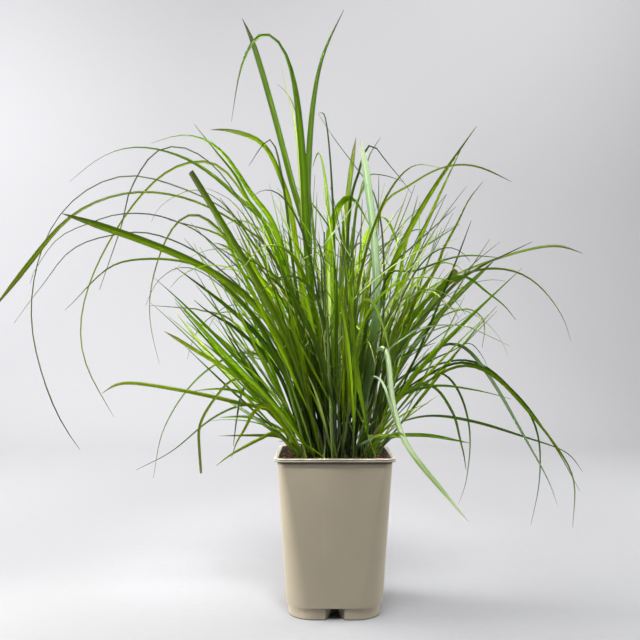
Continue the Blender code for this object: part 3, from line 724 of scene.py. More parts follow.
def culm_finish():
    """Sheathed culm: yellow-green, ribbed lengthwise, browner in patches."""
    f = Finish("culm_sheath")
    across, along, tone = f.blade_sheet()
    place = f.node("CombineXYZ", {0: across * 14, 1: along * 3, 2: tone * 30})
    streak = f.noise(place, 1, 3, 0.6)
    ribs = ((across * RIB_WAVES).sine() * 0.5 + 0.5) ** 2
    blend = (streak * 0.6 + tone * 0.5).from_to(0.25, 0.85)
    colour = f.mix(blend, (0.012, 0.034, 0.002), (0.14, 0.24, 0.012))
    brown = f.noise(f.place(), 48, 2).from_to(0.50, 0.72) * (0.05 + (1 - tone) * 0.3)
    colour = f.mix(brown, colour, (0.10, 0.09, 0.02))
    colour = f.mix(ribs * 0.25, colour, (0.32, 0.38, 0.12))
    colour = f.mix(along.from_to(0.12, 0.0) * 0.4, colour, (0.24, 0.22, 0.07))
    # Painted shade, near-black, on culms deep in the clump's crowded foot
    colour = f.mix(f.deep_inside() * 0.92, colour, (0.003, 0.005, 0.001))
    normal = f.bump(ribs, 0.12 * MM, 0.5)
    return f.done(f.surface(colour, 0.40 + streak * 0.15, normal))


def backdrop_finish():
    """Seamless paper: pale and matt with the faintest fibre; painted light makes it paler towards
    the wall.
    """
    f = Finish("seamless_paper")
    fibre = f.noise(f.place(), 60, 3)
    # Painted light: the paper's colour grows paler towards the wall
    far = f.along_axis("Y").from_to(0.2, 2.6)
    near_tone = f.mix(fibre, (0.280, 0.280, 0.288), (0.297, 0.297, 0.306))
    far_tone = f.mix(fibre, (0.480, 0.478, 0.492), (0.500, 0.498, 0.512))
    colour = f.mix(far, near_tone, far_tone)
    return f.done(f.surface(colour, 0.85))


BLEACHED_BASE = (0.26, 0.36, 0.13)
BLEACHED_TIP = (0.40, 0.44, 0.28)
LEAF_LOOKS = {
    "fresh": dict(
        shade=(0.024, 0.080, 0.001), light=(0.30, 0.47, 0.003), rib=(0.40, 0.58, 0.03),
        base=(0.30, 0.38, 0.09), tip=(0.16, 0.16, 0.04), glow=(0.46, 0.74, 0.008),
        roughness=0.32, veil=0.2),
    "grass": dict(
        shade=(0.020, 0.056, 0.001), light=(0.18, 0.28, 0.003), rib=(0.30, 0.42, 0.02),
        base=(0.24, 0.32, 0.07), tip=(0.10, 0.10, 0.03), glow=(0.42, 0.62, 0.008),
        roughness=0.33, veil=0.2, lit=0.22),
    "deep": dict(
        shade=(0.012, 0.034, 0.001), light=(0.078, 0.150, 0.003), rib=(0.14, 0.23, 0.02),
        base=(0.18, 0.25, 0.06), tip=(0.05, 0.045, 0.02), glow=(0.30, 0.50, 0.02),
        roughness=0.34, veil=0.25, lit=0.26),
    "olive": dict(
        shade=(0.040, 0.068, 0.002), light=(0.17, 0.235, 0.004), rib=(0.27, 0.34, 0.04),
        base=(0.28, 0.33, 0.10), tip=(0.15, 0.12, 0.05), glow=(0.56, 0.68, 0.04),
        roughness=0.36, veil=0.2),
    "silvery": dict(
        shade=(0.15, 0.25, 0.12), light=(0.36, 0.49, 0.28), rib=(0.66, 0.74, 0.52),
        base=BLEACHED_BASE, tip=BLEACHED_TIP, glow=(0.50, 0.66, 0.32),
        roughness=0.30, veil=0.3, green_to=0.6),
    "pale": dict(
        shade=(0.34, 0.46, 0.25), light=(0.54, 0.66, 0.40), rib=(0.82, 0.86, 0.68),
        base=BLEACHED_BASE, tip=BLEACHED_TIP, glow=(0.60, 0.76, 0.40),
        roughness=0.32, veil=0.1, green_to=0.4, green_from=0.66),
    "lime": dict(
        shade=(0.30, 0.42, 0.06), light=(0.54, 0.66, 0.18), rib=(0.72, 0.80, 0.40),
        base=(0.42, 0.48, 0.15), tip=(0.50, 0.48, 0.22), glow=(0.84, 0.94, 0.32),
        roughness=0.38, veil=0.15),
    "dusky": dict(
        shade=(0.018, 0.034, 0.008), light=(0.080, 0.115, 0.035), rib=(0.16, 0.20, 0.09),
        base=(0.10, 0.15, 0.04), tip=(0.035, 0.035, 0.030), glow=(0.34, 0.44, 0.14),
        roughness=0.36, veil=0.3),
    "straw": dict(
        shade=(0.17, 0.15, 0.05), light=(0.34, 0.31, 0.12), rib=(0.44, 0.42, 0.20),
        base=(0.22, 0.19, 0.07), tip=(0.30, 0.25, 0.11), glow=(0.58, 0.56, 0.28),
        roughness=0.62, veil=0.10),
}
LEAF_FINISHES = {name: leaf_finish(name, **looks) for name, looks in LEAF_LOOKS.items()}
CULM_FINISH = culm_finish()


def mesh_data(name, mesh):
    """Blender's own mesh from a bmesh, which is freed."""
    data = bpy.data.meshes.new(name)
    mesh.to_mesh(data)
    mesh.free()
    return data


def link_object(name, data):
    thing = bpy.data.objects.new(name, data)
    bpy.context.scene.collection.objects.link(thing)
    return thing


def add_piece(name, mesh, material, replaced=(), sharp=35):
    """Makes a mesh piece of the object, which rides with the pot."""
    dress_piece(name, mesh_data(name, mesh), material, replaced, sharp)


def dress_piece(name, data, material, replaced, sharp):
    """Gives a piece's mesh its finish and edges, and says what it rides with and stands for."""
    data.name = name
    data.materials.clear()
    data.materials.append(material)
    data.shade_smooth()
    data.set_sharp_from_angle(angle=math.radians(sharp))
    piece = link_object(name, data)
    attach(piece, "root")
    if replaced:
        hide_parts(*replaced)


def rounded_corners(profile):
    """Points along a profile whose corners are rounded off: each is (half, radius, height, rounding)."""
    steps = 3
    points = []
    for i, (*corner, rounding) in enumerate(profile):
        here = Vector(corner)
        if rounding == 0:
            points.append(here)
            continue
        before = Vector(profile[i - 1][:3]) - here
        after = Vector(profile[i + 1][:3]) - here
        start = here + before.normalized() * min(rounding, before.length * 0.49)
        end = here + after.normalized() * min(rounding, after.length * 0.49)
        for step in range(steps + 1):
            t = step / steps
            points.append(start.lerp(here, t).lerp(here.lerp(end, t), t))
    return points


def wall_section(height, inset):
    """Half width and corner radius of the pot's wall at a height, set in from its outside."""
    share = (height - FOOT_HEIGHT) / (RIM_BASE - FOOT_HEIGHT)
    half = WALL_BASE_HALF + (WALL_TOP_HALF - WALL_BASE_HALF) * share
    radius = WALL_BASE_RADIUS + (WALL_TOP_RADIUS - WALL_BASE_RADIUS) * share
    return half - inset, radius - inset


def pot_profile():
    """The pot's sections: up the foot's inside, out, up the wall to the rim, and down inside."""
    foot_inside = (FOOT_HALF - FOOT_THICKNESS, FOOT_RADIUS - FOOT_THICKNESS)
    lip = (RIM_HALF - LIP_INSET, RIM_RADIUS - LIP_INSET)
    groove = (RIM_HALF - GROOVE_DEPTH, RIM_RADIUS - GROOVE_DEPTH)
    ledge = (lip[0] - LEDGE_WIDTH, lip[1] - LEDGE_WIDTH)
    floor_top = FOOT_HEIGHT + FLOOR_THICKNESS
    inside_top = RIM_TOP - 1 * MM
    soft = 0.5 * MM
    fine = 0.3 * MM
    return [
        (*foot_inside, FOOT_HEIGHT, 0),
        (*foot_inside, 0, soft),
        (FOOT_HALF, FOOT_RADIUS, 0, soft),
        (FOOT_HALF, FOOT_RADIUS, FOOT_HEIGHT, soft),
        (WALL_BASE_HALF, WALL_BASE_RADIUS, FOOT_HEIGHT + fine, soft),
        (WALL_TOP_HALF, WALL_TOP_RADIUS, RIM_BASE, 1.0 * MM),
        (RIM_HALF, RIM_RADIUS, RIM_BASE, soft),
        (RIM_HALF, RIM_RADIUS, LIP_BASE - 2 * GROOVE_HALF_HEIGHT, fine),
        (*groove, LIP_BASE - GROOVE_HALF_HEIGHT, fine),
        (*groove, LIP_BASE + GROOVE_HALF_HEIGHT, fine),
        (*lip, LIP_BASE + 2 * GROOVE_HALF_HEIGHT, fine),
        (*lip, RIM_TOP, 0.8 * MM),
        (*ledge, RIM_TOP, 0.8 * MM),
        (*wall_section(inside_top, WALL_THICKNESS), inside_top, fine),
        (*wall_section(floor_top, WALL_THICKNESS), floor_top, 1.5 * MM),
        (ledge[0] * 0.5, ledge[1] * 0.5, floor_top, 0),
    ]


def lengthwise_edges(mesh):
    """The edges of a bar or drum of length 2 that run along Z."""
    return [edge for edge in mesh.edges if abs(edge.verts[0].co.z - edge.verts[1].co.z) > 1]


def loft_squares(sections):
    """A closed solid through rounded-square sections, each (half, radius, height)."""
    mesh = bmesh.new()
    count = 4 * CORNER_STEPS
    bmesh.ops.create_cone(mesh, cap_ends=True, segments=count, radius1=1, radius2=1, depth=2)
    bmesh.ops.subdivide_edges(mesh, edges=lengthwise_edges(mesh), cuts=len(sections) - 2)
    half_step = Matrix.Rotation(math.pi / count, 3, "Z")
    for vertex in mesh.verts:
        half, radius, height = sections[round((vertex.co.z + 1) / 2 * (len(sections) - 1))]
        way = half_step @ Vector((vertex.co.x, vertex.co.y, 0))
        corner = Vector((math.copysign(1, way.x), math.copysign(1, way.y), 0))
        vertex.co = corner * (half - radius) + way * radius + UP * height
    return mesh


def cutting_tool(mesh):
    return link_object("cutting_tool", mesh_data("cutting_tool", mesh))


def quarter_turn(quarter):
    return Matrix.Rotation(math.radians(90 * quarter), 3, "Z")


def foot_pad(quarter):
    """The thick pad behind the foot's wall, in the middle of one side."""
    mesh = bmesh.new()
    inner = FOOT_HALF - PAD_DEPTH
    outer = FOOT_HALF - FOOT_THICKNESS / 2
    height = FOOT_HEIGHT + 1 * MM
    bmesh.ops.create_cube(mesh, size=1)
    bmesh.ops.scale(mesh, vec=(PAD_WIDTH, outer - inner, height), verts=mesh.verts)
    bmesh.ops.translate(mesh, vec=(0, -(outer + inner) / 2, height / 2), verts=mesh.verts)
    bmesh.ops.rotate(mesh, cent=(0, 0, 0), matrix=quarter_turn(quarter), verts=mesh.verts)
    return cutting_tool(mesh)


def notch(quarter):
    """The funnel of a notch: wide at the foot's outside, narrowing to its dark inner mouth."""
    mesh = bmesh.new()
    bmesh.ops.create_cube(mesh, size=2)
    for vertex in mesh.verts:
        side, depth, level = vertex.co
        width = NOTCH_OUTER_WIDTH
        if depth > 0:
            width = NOTCH_INNER_TOP if level > 0 else NOTCH_INNER_BOTTOM
        vertex.co.x = side * width / 2
        vertex.co.y = -(FOOT_HALF - PAD_DEPTH - 4 * MM) if depth > 0 else -(FOOT_HALF + 2 * MM)
        vertex.co.z = NOTCH_HEIGHT if level > 0 else -1 * MM
    bmesh.ops.rotate(mesh, cent=(0, 0, 0), matrix=quarter_turn(quarter), verts=mesh.verts)
    return cutting_tool(mesh)


def round_hole(radius, centre, depth, sides=24):
    mesh = bmesh.new()
    bmesh.ops.create_cone(mesh, cap_ends=True, segments=sides, radius1=radius, radius2=radius, depth=depth)
    bmesh.ops.translate(mesh, vec=centre, verts=mesh.verts)
    return cutting_tool(mesh)


def foot_ring(radius, base, top):
    """A drum under the floor: the ring rib's outside or its inside."""
    return round_hole(radius, (0, 0, (base + top) / 2), top - base, 72)


def build_pot():
    """The pot: lofted walls, pads, funnels and a ring rib in the foot, drainage holes, and eyelets."""
    shell = cutting_tool(loft_squares(rounded_corners(pot_profile())))
    floor_middle = FOOT_HEIGHT + FLOOR_THICKNESS / 2
    drains = [(0, 0)]
    for quarter in range(4):
        angle = math.radians(45 + 90 * quarter)
        drains.append((DRAIN_FROM_AXIS * math.cos(angle), DRAIN_FROM_AXIS * math.sin(angle)))
    added = [foot_pad(quarter) for quarter in range(4)]
    added.append(foot_ring(RING_RADIUS, RING_CLEARANCE, floor_middle))
    removed = [foot_ring(RING_RADIUS - RING_THICKNESS, 0, FOOT_HEIGHT)]
    removed += [notch(quarter) for quarter in range(4)]
    removed += [round_hole(DRAIN_RADIUS, (x, y, floor_middle), 20 * MM) for x, y in drains]
    for x in (-EYELET_FROM_AXIS, EYELET_FROM_AXIS):
        removed.append(round_hole(EYELET_RADIUS, (x, 0, RIM_TOP), 30 * MM))
    for tool in added + removed:
        cut = shell.modifiers.new("cut", "BOOLEAN")
        cut.operation = "UNION" if tool in added else "DIFFERENCE"
        cut.object = tool
    softened = shell.modifiers.new("softened", "BEVEL")
    softened.width = 0.35 * MM
    softened.segments = 2
    softened.limit_method = "ANGLE"
    softened.angle_limit = math.radians(55)
    graph = bpy.context.evaluated_depsgraph_get()
    data = bpy.data.meshes.new_from_object(shell.evaluated_get(graph))
    for thing in [shell, *added, *removed]:
        bpy.data.objects.remove(thing, do_unlink=True)
    dress_piece("nursery_pot", data, pot_finish(), ["pot"], sharp=32)


def edge_of_square(way, half, radius):
    """How far a rounded square's edge is from its middle, along a unit direction in plan."""
    straight = half / max(abs(way.x), abs(way.y))
    corner = Vector((math.copysign(half - radius, way.x), math.copysign(half - radius, way.y)))
    at = way * straight
    if min(abs(at.x), abs(at.y)) <= half - radius:
        return straight
    along = way.dot(corner)
    return along + math.sqrt(max(0, along ** 2 - corner.length_squared + radius ** 2))


def bank(edge, height_mm):
    """How much the compost rises towards the wall, where edge is 1."""
    return max(0, edge - BANK_FROM) ** 1.5 * height_mm * MM


def build_soil():
    """The compost: a crumbly top inside the wall, and the root ball under it down to the pot's floor."""
    mesh = bmesh.new()
    cells = 130
    inset = WALL_THICKNESS + GAP
    half, radius = wall_section(SOIL_TOP, inset)
    bmesh.ops.create_grid(mesh, x_segments=cells, y_segments=cells, size=1)
    for vertex in mesh.verts:
        flat = Vector((vertex.co.x, vertex.co.y))
        if flat.length > 0:
            way = flat.normalized()
            reach = edge_of_square(way, half, radius) * max(abs(flat.x), abs(flat.y))
            flat = way * reach
        at = Vector((flat.x, flat.y, 0))
        crumbs = noise.turbulence(at * 260, 3, False, noise_basis="VORONOI_F1") - 0.5
        lumps = noise.noise(at * 70)
        edge = max(abs(vertex.co.x), abs(vertex.co.y))
        rough = (crumbs * CRUMB_HEIGHT_MM + lumps * LUMP_HEIGHT_MM) * MM
        height = SOIL_TOP + rough + bank(edge, BANK_HEIGHT_MM)
        vertex.co = (flat.x, flat.y, min(height, RIM_TOP - 1.5 * MM))
    base = FOOT_HEIGHT + FLOOR_THICKNESS + GAP
    for height, rounding in ((SOIL_TOP - 8 * MM, 0), (base + 1 * MM, 0), (base, 1 * MM)):
        rim = [edge for edge in mesh.edges if edge.is_boundary]
        grown = bmesh.ops.extrude_edge_only(mesh, edges=rim)["geom"]
        half, radius = wall_section(height, inset + rounding)
        for vertex in grown:
            if isinstance(vertex, bmesh.types.BMVert):
                way = Vector((vertex.co.x, vertex.co.y)).normalized()
                flat = way * edge_of_square(way, half, radius)
                vertex.co = (flat.x, flat.y, height)
    bmesh.ops.holes_fill(mesh, edges=mesh.edges, sides=0)
    bmesh.ops.recalc_face_normals(mesh, faces=mesh.faces)
    add_piece("compost", mesh, soil_finish(), ["soil"], sharp=60)


def build_chips():
    """Bark chips and crumbs lying on the compost, thickest along the wall."""
    rng = random.Random(CHIP_SEED)
    mesh = bmesh.new()
    half, radius = wall_section(SOIL_TOP, WALL_THICKNESS + 3 * MM)
    for _ in range(BARK_CHIPS):
        angle = rng.uniform(0, 2 * math.pi)
        way = Vector((math.cos(angle), math.sin(angle)))
        flat = way * edge_of_square(way, half, radius) * rng.uniform(0.55, 1) ** 0.5
        size = rng.uniform(1.0, 3.4) * MM * (1 if rng.random() < 0.8 else 1.6)
        chip = bmesh.ops.create_icosphere(mesh, subdivisions=1, radius=size)["verts"]
        bmesh.ops.scale(mesh, vec=(1, rng.uniform(0.5, 0.9), rng.uniform(0.3, 0.6)), verts=chip)
        turn = Quaternion((rng.gauss(0, 0.3), rng.gauss(0, 0.3), 1), rng.uniform(0, 6.3)).to_matrix()
        bmesh.ops.rotate(mesh, cent=(0, 0, 0), matrix=turn, verts=chip)
        for vertex in chip:
            vertex.co *= rng.uniform(0.75, 1.15)
        edge = max(abs(flat.x), abs(flat.y)) / half
        lift = SOIL_TOP + rng.uniform(0.2, 2.6) * MM + bank(edge, CHIP_BANK_HEIGHT_MM)
        bmesh.ops.translate(mesh, vec=(flat.x, flat.y, min(lift, RIM_TOP - size)), verts=chip)
    add_piece("bark_chips", mesh, chip_finish(), sharp=25)


def smooth_curve(points, count):
    """Points at even steps along a Catmull-Rom curve through the points given."""
    ends = [points[0] * 2 - points[1], *points, points[-1] * 2 - points[-2]]
    fine = []
    steps = 24
    for before, start, end, after in zip(ends, ends[1:], ends[2:], ends[3:]):
        for step in range(steps):
            t = step / steps
            fine.append(
                (start * 2 + (end - before) * t
                 + (before * 2 - start * 5 + end * 4 - after) * t ** 2
                 + (start * 3 - before - end * 3 + after) * t ** 3) / 2
            )
    fine.append(points[-1])
    travelled = [0]
    for a, b in zip(fine, fine[1:]):
        travelled.append(travelled[-1] + (b - a).length)
    even = []
    at = 0
    for i in range(count):
        target = travelled[-1] * i / (count - 1)
        while at < len(fine) - 2 and travelled[at + 1] < target:
            at += 1
        share = (target - travelled[at]) / (travelled[at + 1] - travelled[at])
        even.append(fine[at].lerp(fine[at + 1], share))
    return even


def relaxed(spine, rounds):
    """The same spine, with its small waves evened out and its ends kept."""
    for _ in range(rounds):
        inner = [(before + after) / 4 + here / 2 for before, here, after in zip(spine, spine[1:], spine[2:])]
        spine = [spine[0], *inner, spine[-1]]
    return spine


def outward(heading):
    return Vector((math.cos(heading), math.sin(heading), 0))


def leftward(heading):
    return Vector((-math.sin(heading), math.cos(heading), 0))


def on_clump(heading, distance, height):
    """A point at a distance from the clump's upright axis."""
    return CLUMP_MIDDLE + outward(heading) * distance + UP * height


def seen_at(point, depth=0):
    """Where the line of sight to a point crosses the upright plane at that depth."""
    sight = point - EYE
    return EYE + sight * ((depth - EYE.y) / sight.y)


def seen_path(heading, root_distance, seen):
    """The blade's points where the lines of sight through the seen ones meet its own plane."""
    normal = leftward(heading)
    root = on_clump(heading, root_distance, ROOT_HEIGHT)
    path = [root]
    for x, z in seen:
        sight = Vector((x * MM, 0, z * MM)) - EYE
        path.append(EYE + sight * (normal.dot(root - EYE) / normal.dot(sight)))
    return path


def deep_path(heading, root_distance, profile):
    """The blade's points from distances and heights in its own plane."""
    path = [on_clump(heading, root_distance, ROOT_HEIGHT)]
    for distance, height in profile:
        path.append(on_clump(heading, distance * MM, height * MM))
    return path


def facing_turn(path, heading):
    """How far a blade turns about its length, from level, to show its broad side in the front view."""
    middle = len(path) // 2
    along = (path[middle + 1] - path[middle - 1]).normalized()
    level = leftward(heading)
    facing = along.cross(path[middle] - EYE).normalized()
    if facing.dot(level) < 0:
        facing.negate()
    return math.atan2(along.dot(level.cross(facing)), level.dot(facing))


def bending_path(root, heading, lean, bend, length, drift, count, power=1.6):
    """Points along a blade that leaves root leaning by lean from upright and bends over by bend.

    drift is how far its heading turns on the way.
    """
    points = [root.copy()]
    for i in range(1, count):
        share = (i - 0.5) / (count - 1)
        angle = lean + bend * share ** power
        way = outward(heading + drift * share) * math.sin(angle) + UP * math.cos(angle)
        points.append(points[-1] + way * (length / (count - 1)))
    return points


def match_diagonals(mesh):
    """Cuts a bar's sides along matching diagonals, so that a twisted blade's two faces stay apart."""
    for face in list(mesh.faces):
        corners = sorted(face.verts, key=lambda corner: (round(corner.co.z, 4), corner.co.x + corner.co.y))
        if corners[-1].co.z - corners[0].co.z > GAP:
            bmesh.utils.face_split(face, corners[0], corners[-1])


def plain_bar(rings, cuts):
    """A bar along Z with a square ring of 4 * (cuts + 1) points at each step, ready to be laid.

    Its map runs from 0 to 1 across the upper side and from 1 to 2 across the lower one, and stops
    just short of both ends.
    """
    span = 4.04
    mesh = bmesh.new()
    bmesh.ops.create_cube(mesh, size=2)
    lengthwise = lengthwise_edges(mesh)
    crosswise = [edge for edge in mesh.edges if edge not in lengthwise]
    if cuts:
        bmesh.ops.subdivide_edges(mesh, edges=crosswise, cuts=cuts, use_grid_fill=True)
    bmesh.ops.subdivide_edges(mesh, edges=lengthwise_edges(mesh), cuts=rings - 2)
    match_diagonals(mesh)
    sheet = mesh.loops.layers.uv.new("blade")
    for face in mesh.faces:
        middle = face.calc_center_median()
        lower_side = 1 if middle.x - middle.y < 0 else 0
        for loop in face.loops:
            x, y, z = loop.vert.co
            loop[sheet].uv = (lower_side + 0.5 + (x + y) / span, (z + 1) / 2)
    mesh.verts.layers.float.new("tone")
    return mesh_data("bar", mesh)


FILL_BAR = plain_bar(FILL_RINGS, 0)
ARC_BAR = plain_bar(ARC_RINGS, 0)
HERO_BAR = plain_bar(HERO_RINGS, 1)
TUBE_BAR = plain_bar(TUBE_RINGS, 1)
CULM_BAR = plain_bar(CULM_RINGS, 2)


def blade_width(share, tip):
    """Share of a blade's full width: a narrow folded base, full by its middle, and its tip."""
    base = 0.34 + 0.66 * math.sin(min(share / 0.52, 1) * math.pi / 2)
    if tip == "cut":
        return base * (0.6 + 0.4 * min(1, share / 0.75)) * (1 - max(0, (share - 0.96) / 0.04) * 0.12)
    start, power = TIPS[tip]
    return base * (1 - max(0, (share - start) / (1 - start)) ** power)


def add_bar(mesh, bar):
    before = len(mesh.verts)
    mesh.from_mesh(bar)
    mesh.verts.ensure_lookup_table()
    return mesh.verts[before:]


def way_along(spine, ring):
    """The unit direction of a spine at one of its points."""
    return (spine[min(ring + 1, len(spine) - 1)] - spine[max(ring - 1, 0)]).normalized()


def lay_blade(mesh, bar, spine, heading, turn, width, twist, twist_from, tip, tone):
    """Bends a plain bar into a folded blade along its spine."""
    verts = add_bar(mesh, bar)
    layer = mesh.verts.layers.float["tone"]
    last = len(spine) - 1
    sideways = leftward(heading)
    frames = []
    for ring in range(last + 1):
        share = ring / last
        along = way_along(spine, ring)
        angle = turn * min(1, share / TURNED_BY)
        angle += twist * max(0, (share - twist_from) / (1 - twist_from))
        across = sideways - along * sideways.dot(along)
        across = Quaternion(along, angle) @ across.normalized()
        frames.append((across, across.cross(along)))
    for vertex in verts:
        x, y, z = vertex.co
        share = (z + 1) / 2
        ring = round(share * last)
        across, upward = frames[ring]
        here = TIP_WIDTH + (width - TIP_WIDTH) * blade_width(share, tip)
        fold = here * (FOLD_AT_FOOT - FOLD_LOST * share)
        edge_side = (x + y) / 2
        face_side = (x - y) / 2
        thickness = BLADE_THICKNESS * (0.35 + 0.65 * here / width)
        rib = 0.7 * thickness * max(0, -face_side) ** 4
        lift = fold * abs(edge_side) ** 1.3 + face_side * thickness / 2 - rib
        vertex.co = spine[ring] + across * edge_side * here / 2 + upward * lift
        vertex[layer] = tone


def lay_tube(mesh, bar, spine, radius_at, flat, heading, tone):
    """Bends a plain bar into a tube along its spine, flattened to that share of its width."""
    verts = add_bar(mesh, bar)
    layer = mesh.verts.layers.float["tone"]
    last = len(spine) - 1
    sideways = leftward(heading)
    for vertex in verts:
        x, y, z = vertex.co
        share = (z + 1) / 2
        ring = round(share * last)
        along = way_along(spine, ring)
        across = (sideways - along * sideways.dot(along)).normalized()
        upward = across.cross(along)
        ring_way = Vector((x, y))
        reach = max(abs(x), abs(y))
        if ring_way.length > 0:
            ring_way = ring_way.normalized() * reach
        radius = radius_at(share)
        vertex.co = spine[ring] + (across * ring_way.x + upward * ring_way.y * flat) * radius
        vertex[layer] = tone


def sink(points):
    """The same path with its root a little down in the soil."""
    return [points[0] - UP * ROOT_SUNK, *points[1:]]


def build_main_blades():
    """The blades that have solids, each a piece of its own."""
    rng = random.Random(BLADE_SEED)
    for blades, place in ((SEEN_BLADES, seen_path), (DEEP_BLADES, deep_path)):
        for name, heading, root, turn, width, points in blades:
            usual = ("fresh", "pointed", rng.uniform(-40, 40), 0.3)
            finish, tip, twist, twist_from = BLADE_TRAITS.get(name, usual)
            heading = math.radians(heading)
            spine = smooth_curve(sink(place(heading, root * MM, points)), HERO_RINGS)
            spine = relaxed(spine, STIFF_ROUNDS if name in STIFF_BLADES else SUPPLE_ROUNDS)
            turn = math.radians(turn)
            if place is seen_path:
                turn += facing_turn(spine, heading)
            mesh = bmesh.new()
            lay_blade(
                mesh, HERO_BAR, spine, heading, turn, width * MM,
                math.radians(twist), twist_from, tip, rng.uniform(0.25, 0.85),
            )
            add_piece(f"leaf_{name}", mesh, LEAF_FINISHES[finish], [f"blade_{name}"], sharp=60)


def build_culms():
    """The upright culms: sheathed tubes with swollen nodes.

    Their radii are shares of STEM_RADIUS, each at a share of a culm's length.
    """
    tone_step = 0.37
    shares = (0, 0.26, 0.3, 0.34, 0.64, 0.67, 0.7, 1)
    radii = (1, 0.9, 1.12, 0.86, 0.74, 0.92, 0.7, 0.5)

    def radius_at(share):
        for low, high, start, end in zip(shares, shares[1:], radii, radii[1:]):
            if share <= high:
                t = (share - low) / (high - low)
                return STEM_RADIUS * (start + (end - start) * t * t * (3 - 2 * t))
        return STEM_RADIUS * radii[-1]

    for index, (heading, distance, length, lean) in enumerate(STEMS):
        heading = math.radians(heading)
        lean = math.radians(lean)
        length *= MM
        root = on_clump(heading, distance * MM, ROOT_HEIGHT)
        path = []
        for share in (0, 0.15, 0.3, 0.5, 0.67, 0.85, 1):
            path.append(root + UP * length * share + outward(heading) * lean * length * share ** 1.6)
        spine = smooth_curve(sink(path), CULM_RINGS)
        mesh = bmesh.new()
        lay_tube(mesh, CULM_BAR, spine, radius_at, 1, heading, index * tone_step % 1)
        add_piece(f"culm_{index + 1}", mesh, CULM_FINISH, [f"stem_{index + 1}"], sharp=50)


def hides_pot(point):
    """True if a point in front of the pot is seen from the front view against the pot."""
    if point.y > -RIM_HALF:
        return False
    at = seen_at(point, -RIM_HALF)
    return at.z < RIM_TOP + SEEN_ABOVE_MARGIN and abs(at.x) < RIM_HALF + SEEN_SIDE_MARGIN


def free_of_pot(points):
    """True if a blade clears the pot's rim and wall and stays within the solids' reach."""
    low = [side + BOX_MARGIN for side in solid_low]
    high = [side - BOX_MARGIN for side in solid_high]
    for point in points[1:]:
        square = max(abs(point.x), abs(point.y))
        by_rim = RIM_HALF - RIM_INSIDE_MARGIN < square < RIM_HALF + RIM_OUTSIDE_MARGIN
        if by_rim and point.z < RIM_TOP + RIM_ABOVE_MARGIN:
            return False
        if point.z < SOIL_TOP and square < RIM_HALF:
            return False
        if any(point[i] < low[i] or point[i] > high[i] for i in range(3)):
            return False
        if hides_pot(point):
            return False
    return True


def view_cell(point):
    """The square of the front view, in the plane of the pot's axis, that a point is seen in."""
    at = seen_at(point)
    return round(at.x / VIEW_CELL), round(at.z / VIEW_CELL)


def kept_cells():
    """The squares of the front view that the blades in KEPT_IN_VIEW pass through, and those around."""
    cells = set()
    steps = 60
    for name, *_, points in SEEN_BLADES:
        if name not in KEPT_IN_VIEW:
            continue
        for point in smooth_curve([Vector((x * MM, 0, z * MM)) for x, z in points], steps):
            if point.z < KEPT_IN_VIEW[name]:
                continue
            column, row = view_cell(point)
            cells.update((column + i, row + j) for i in (-1, 0, 1) for j in (-1, 0, 1))
    return cells


KEPT_CELLS = kept_cells()


def hides_kept_blade(points):
    """True if the part of a blade in the front half is seen over a blade that stays in view."""
    return any(point.y < HIDES_FROM and view_cell(point) in KEPT_CELLS for point in points)


def in_dome(points):
    """True if a blade stays within the dome that the bulk of the clump fills, and above its skirt."""
    for point in points:
        reach = math.hypot(point.x - CLUMP_MIDDLE.x, point.y)
        rise = point.z - SOIL_TOP
        if (reach / DOME_RADIUS) ** DOME_POWER + (max(rise, 0) / DOME_HEIGHT) ** DOME_POWER > 1:
            return False
        if rise < (reach - SKIRT_FROM_AXIS) * SKIRT_SLOPE:
            return False
    return True


def within_outline(points):
    """True if a blade stays inside the outline that the clump's bulk has in the front view."""
    for point in points:
        at = seen_at(point)
        if math.hypot(at.x / OUTLINE_REACH, (at.z - SOIL_TOP) / OUTLINE_HEIGHT) > 1:
            return False
    return True


def fits_fill(points):
    return in_dome(points) and free_of_pot(points)


def fits_shoot(points):
    return fits_fill(points) and not hides_kept_blade(points)


def fits_arc(points):
    return free_of_pot(points) and within_outline(points)


def pick_finish(rng, weights):
    names = list(weights)
    return rng.choices(names, [weights[name] for name in names])[0]


def add_leaf(groups, bar, rng, tries, draw, fits, finishes, turn, draw_width, twist, pointed=1):
    """Lays a leaf in the group of its finish, along the first path drawn that fits, if any does.

    draw gives a path and its heading, turn is how far it may turn its broad side either way,
    twist the spread of its twist, and pointed the share of leaves that are pointed, not blunt.
    """
    for _ in range(tries):
        path, heading = draw()
        if fits(path):
            break
    else:
        return
    finish = pick_finish(rng, finishes)
    turned = rng.uniform(-turn, turn)
    width = draw_width() * MM
    twisted = rng.gauss(0, twist)
    tip = "pointed" if pointed == 1 or rng.random() < pointed else "blunt"
    lay_blade(groups[finish], bar, path, heading, turned, width, twisted, 0.3, tip, rng.random())


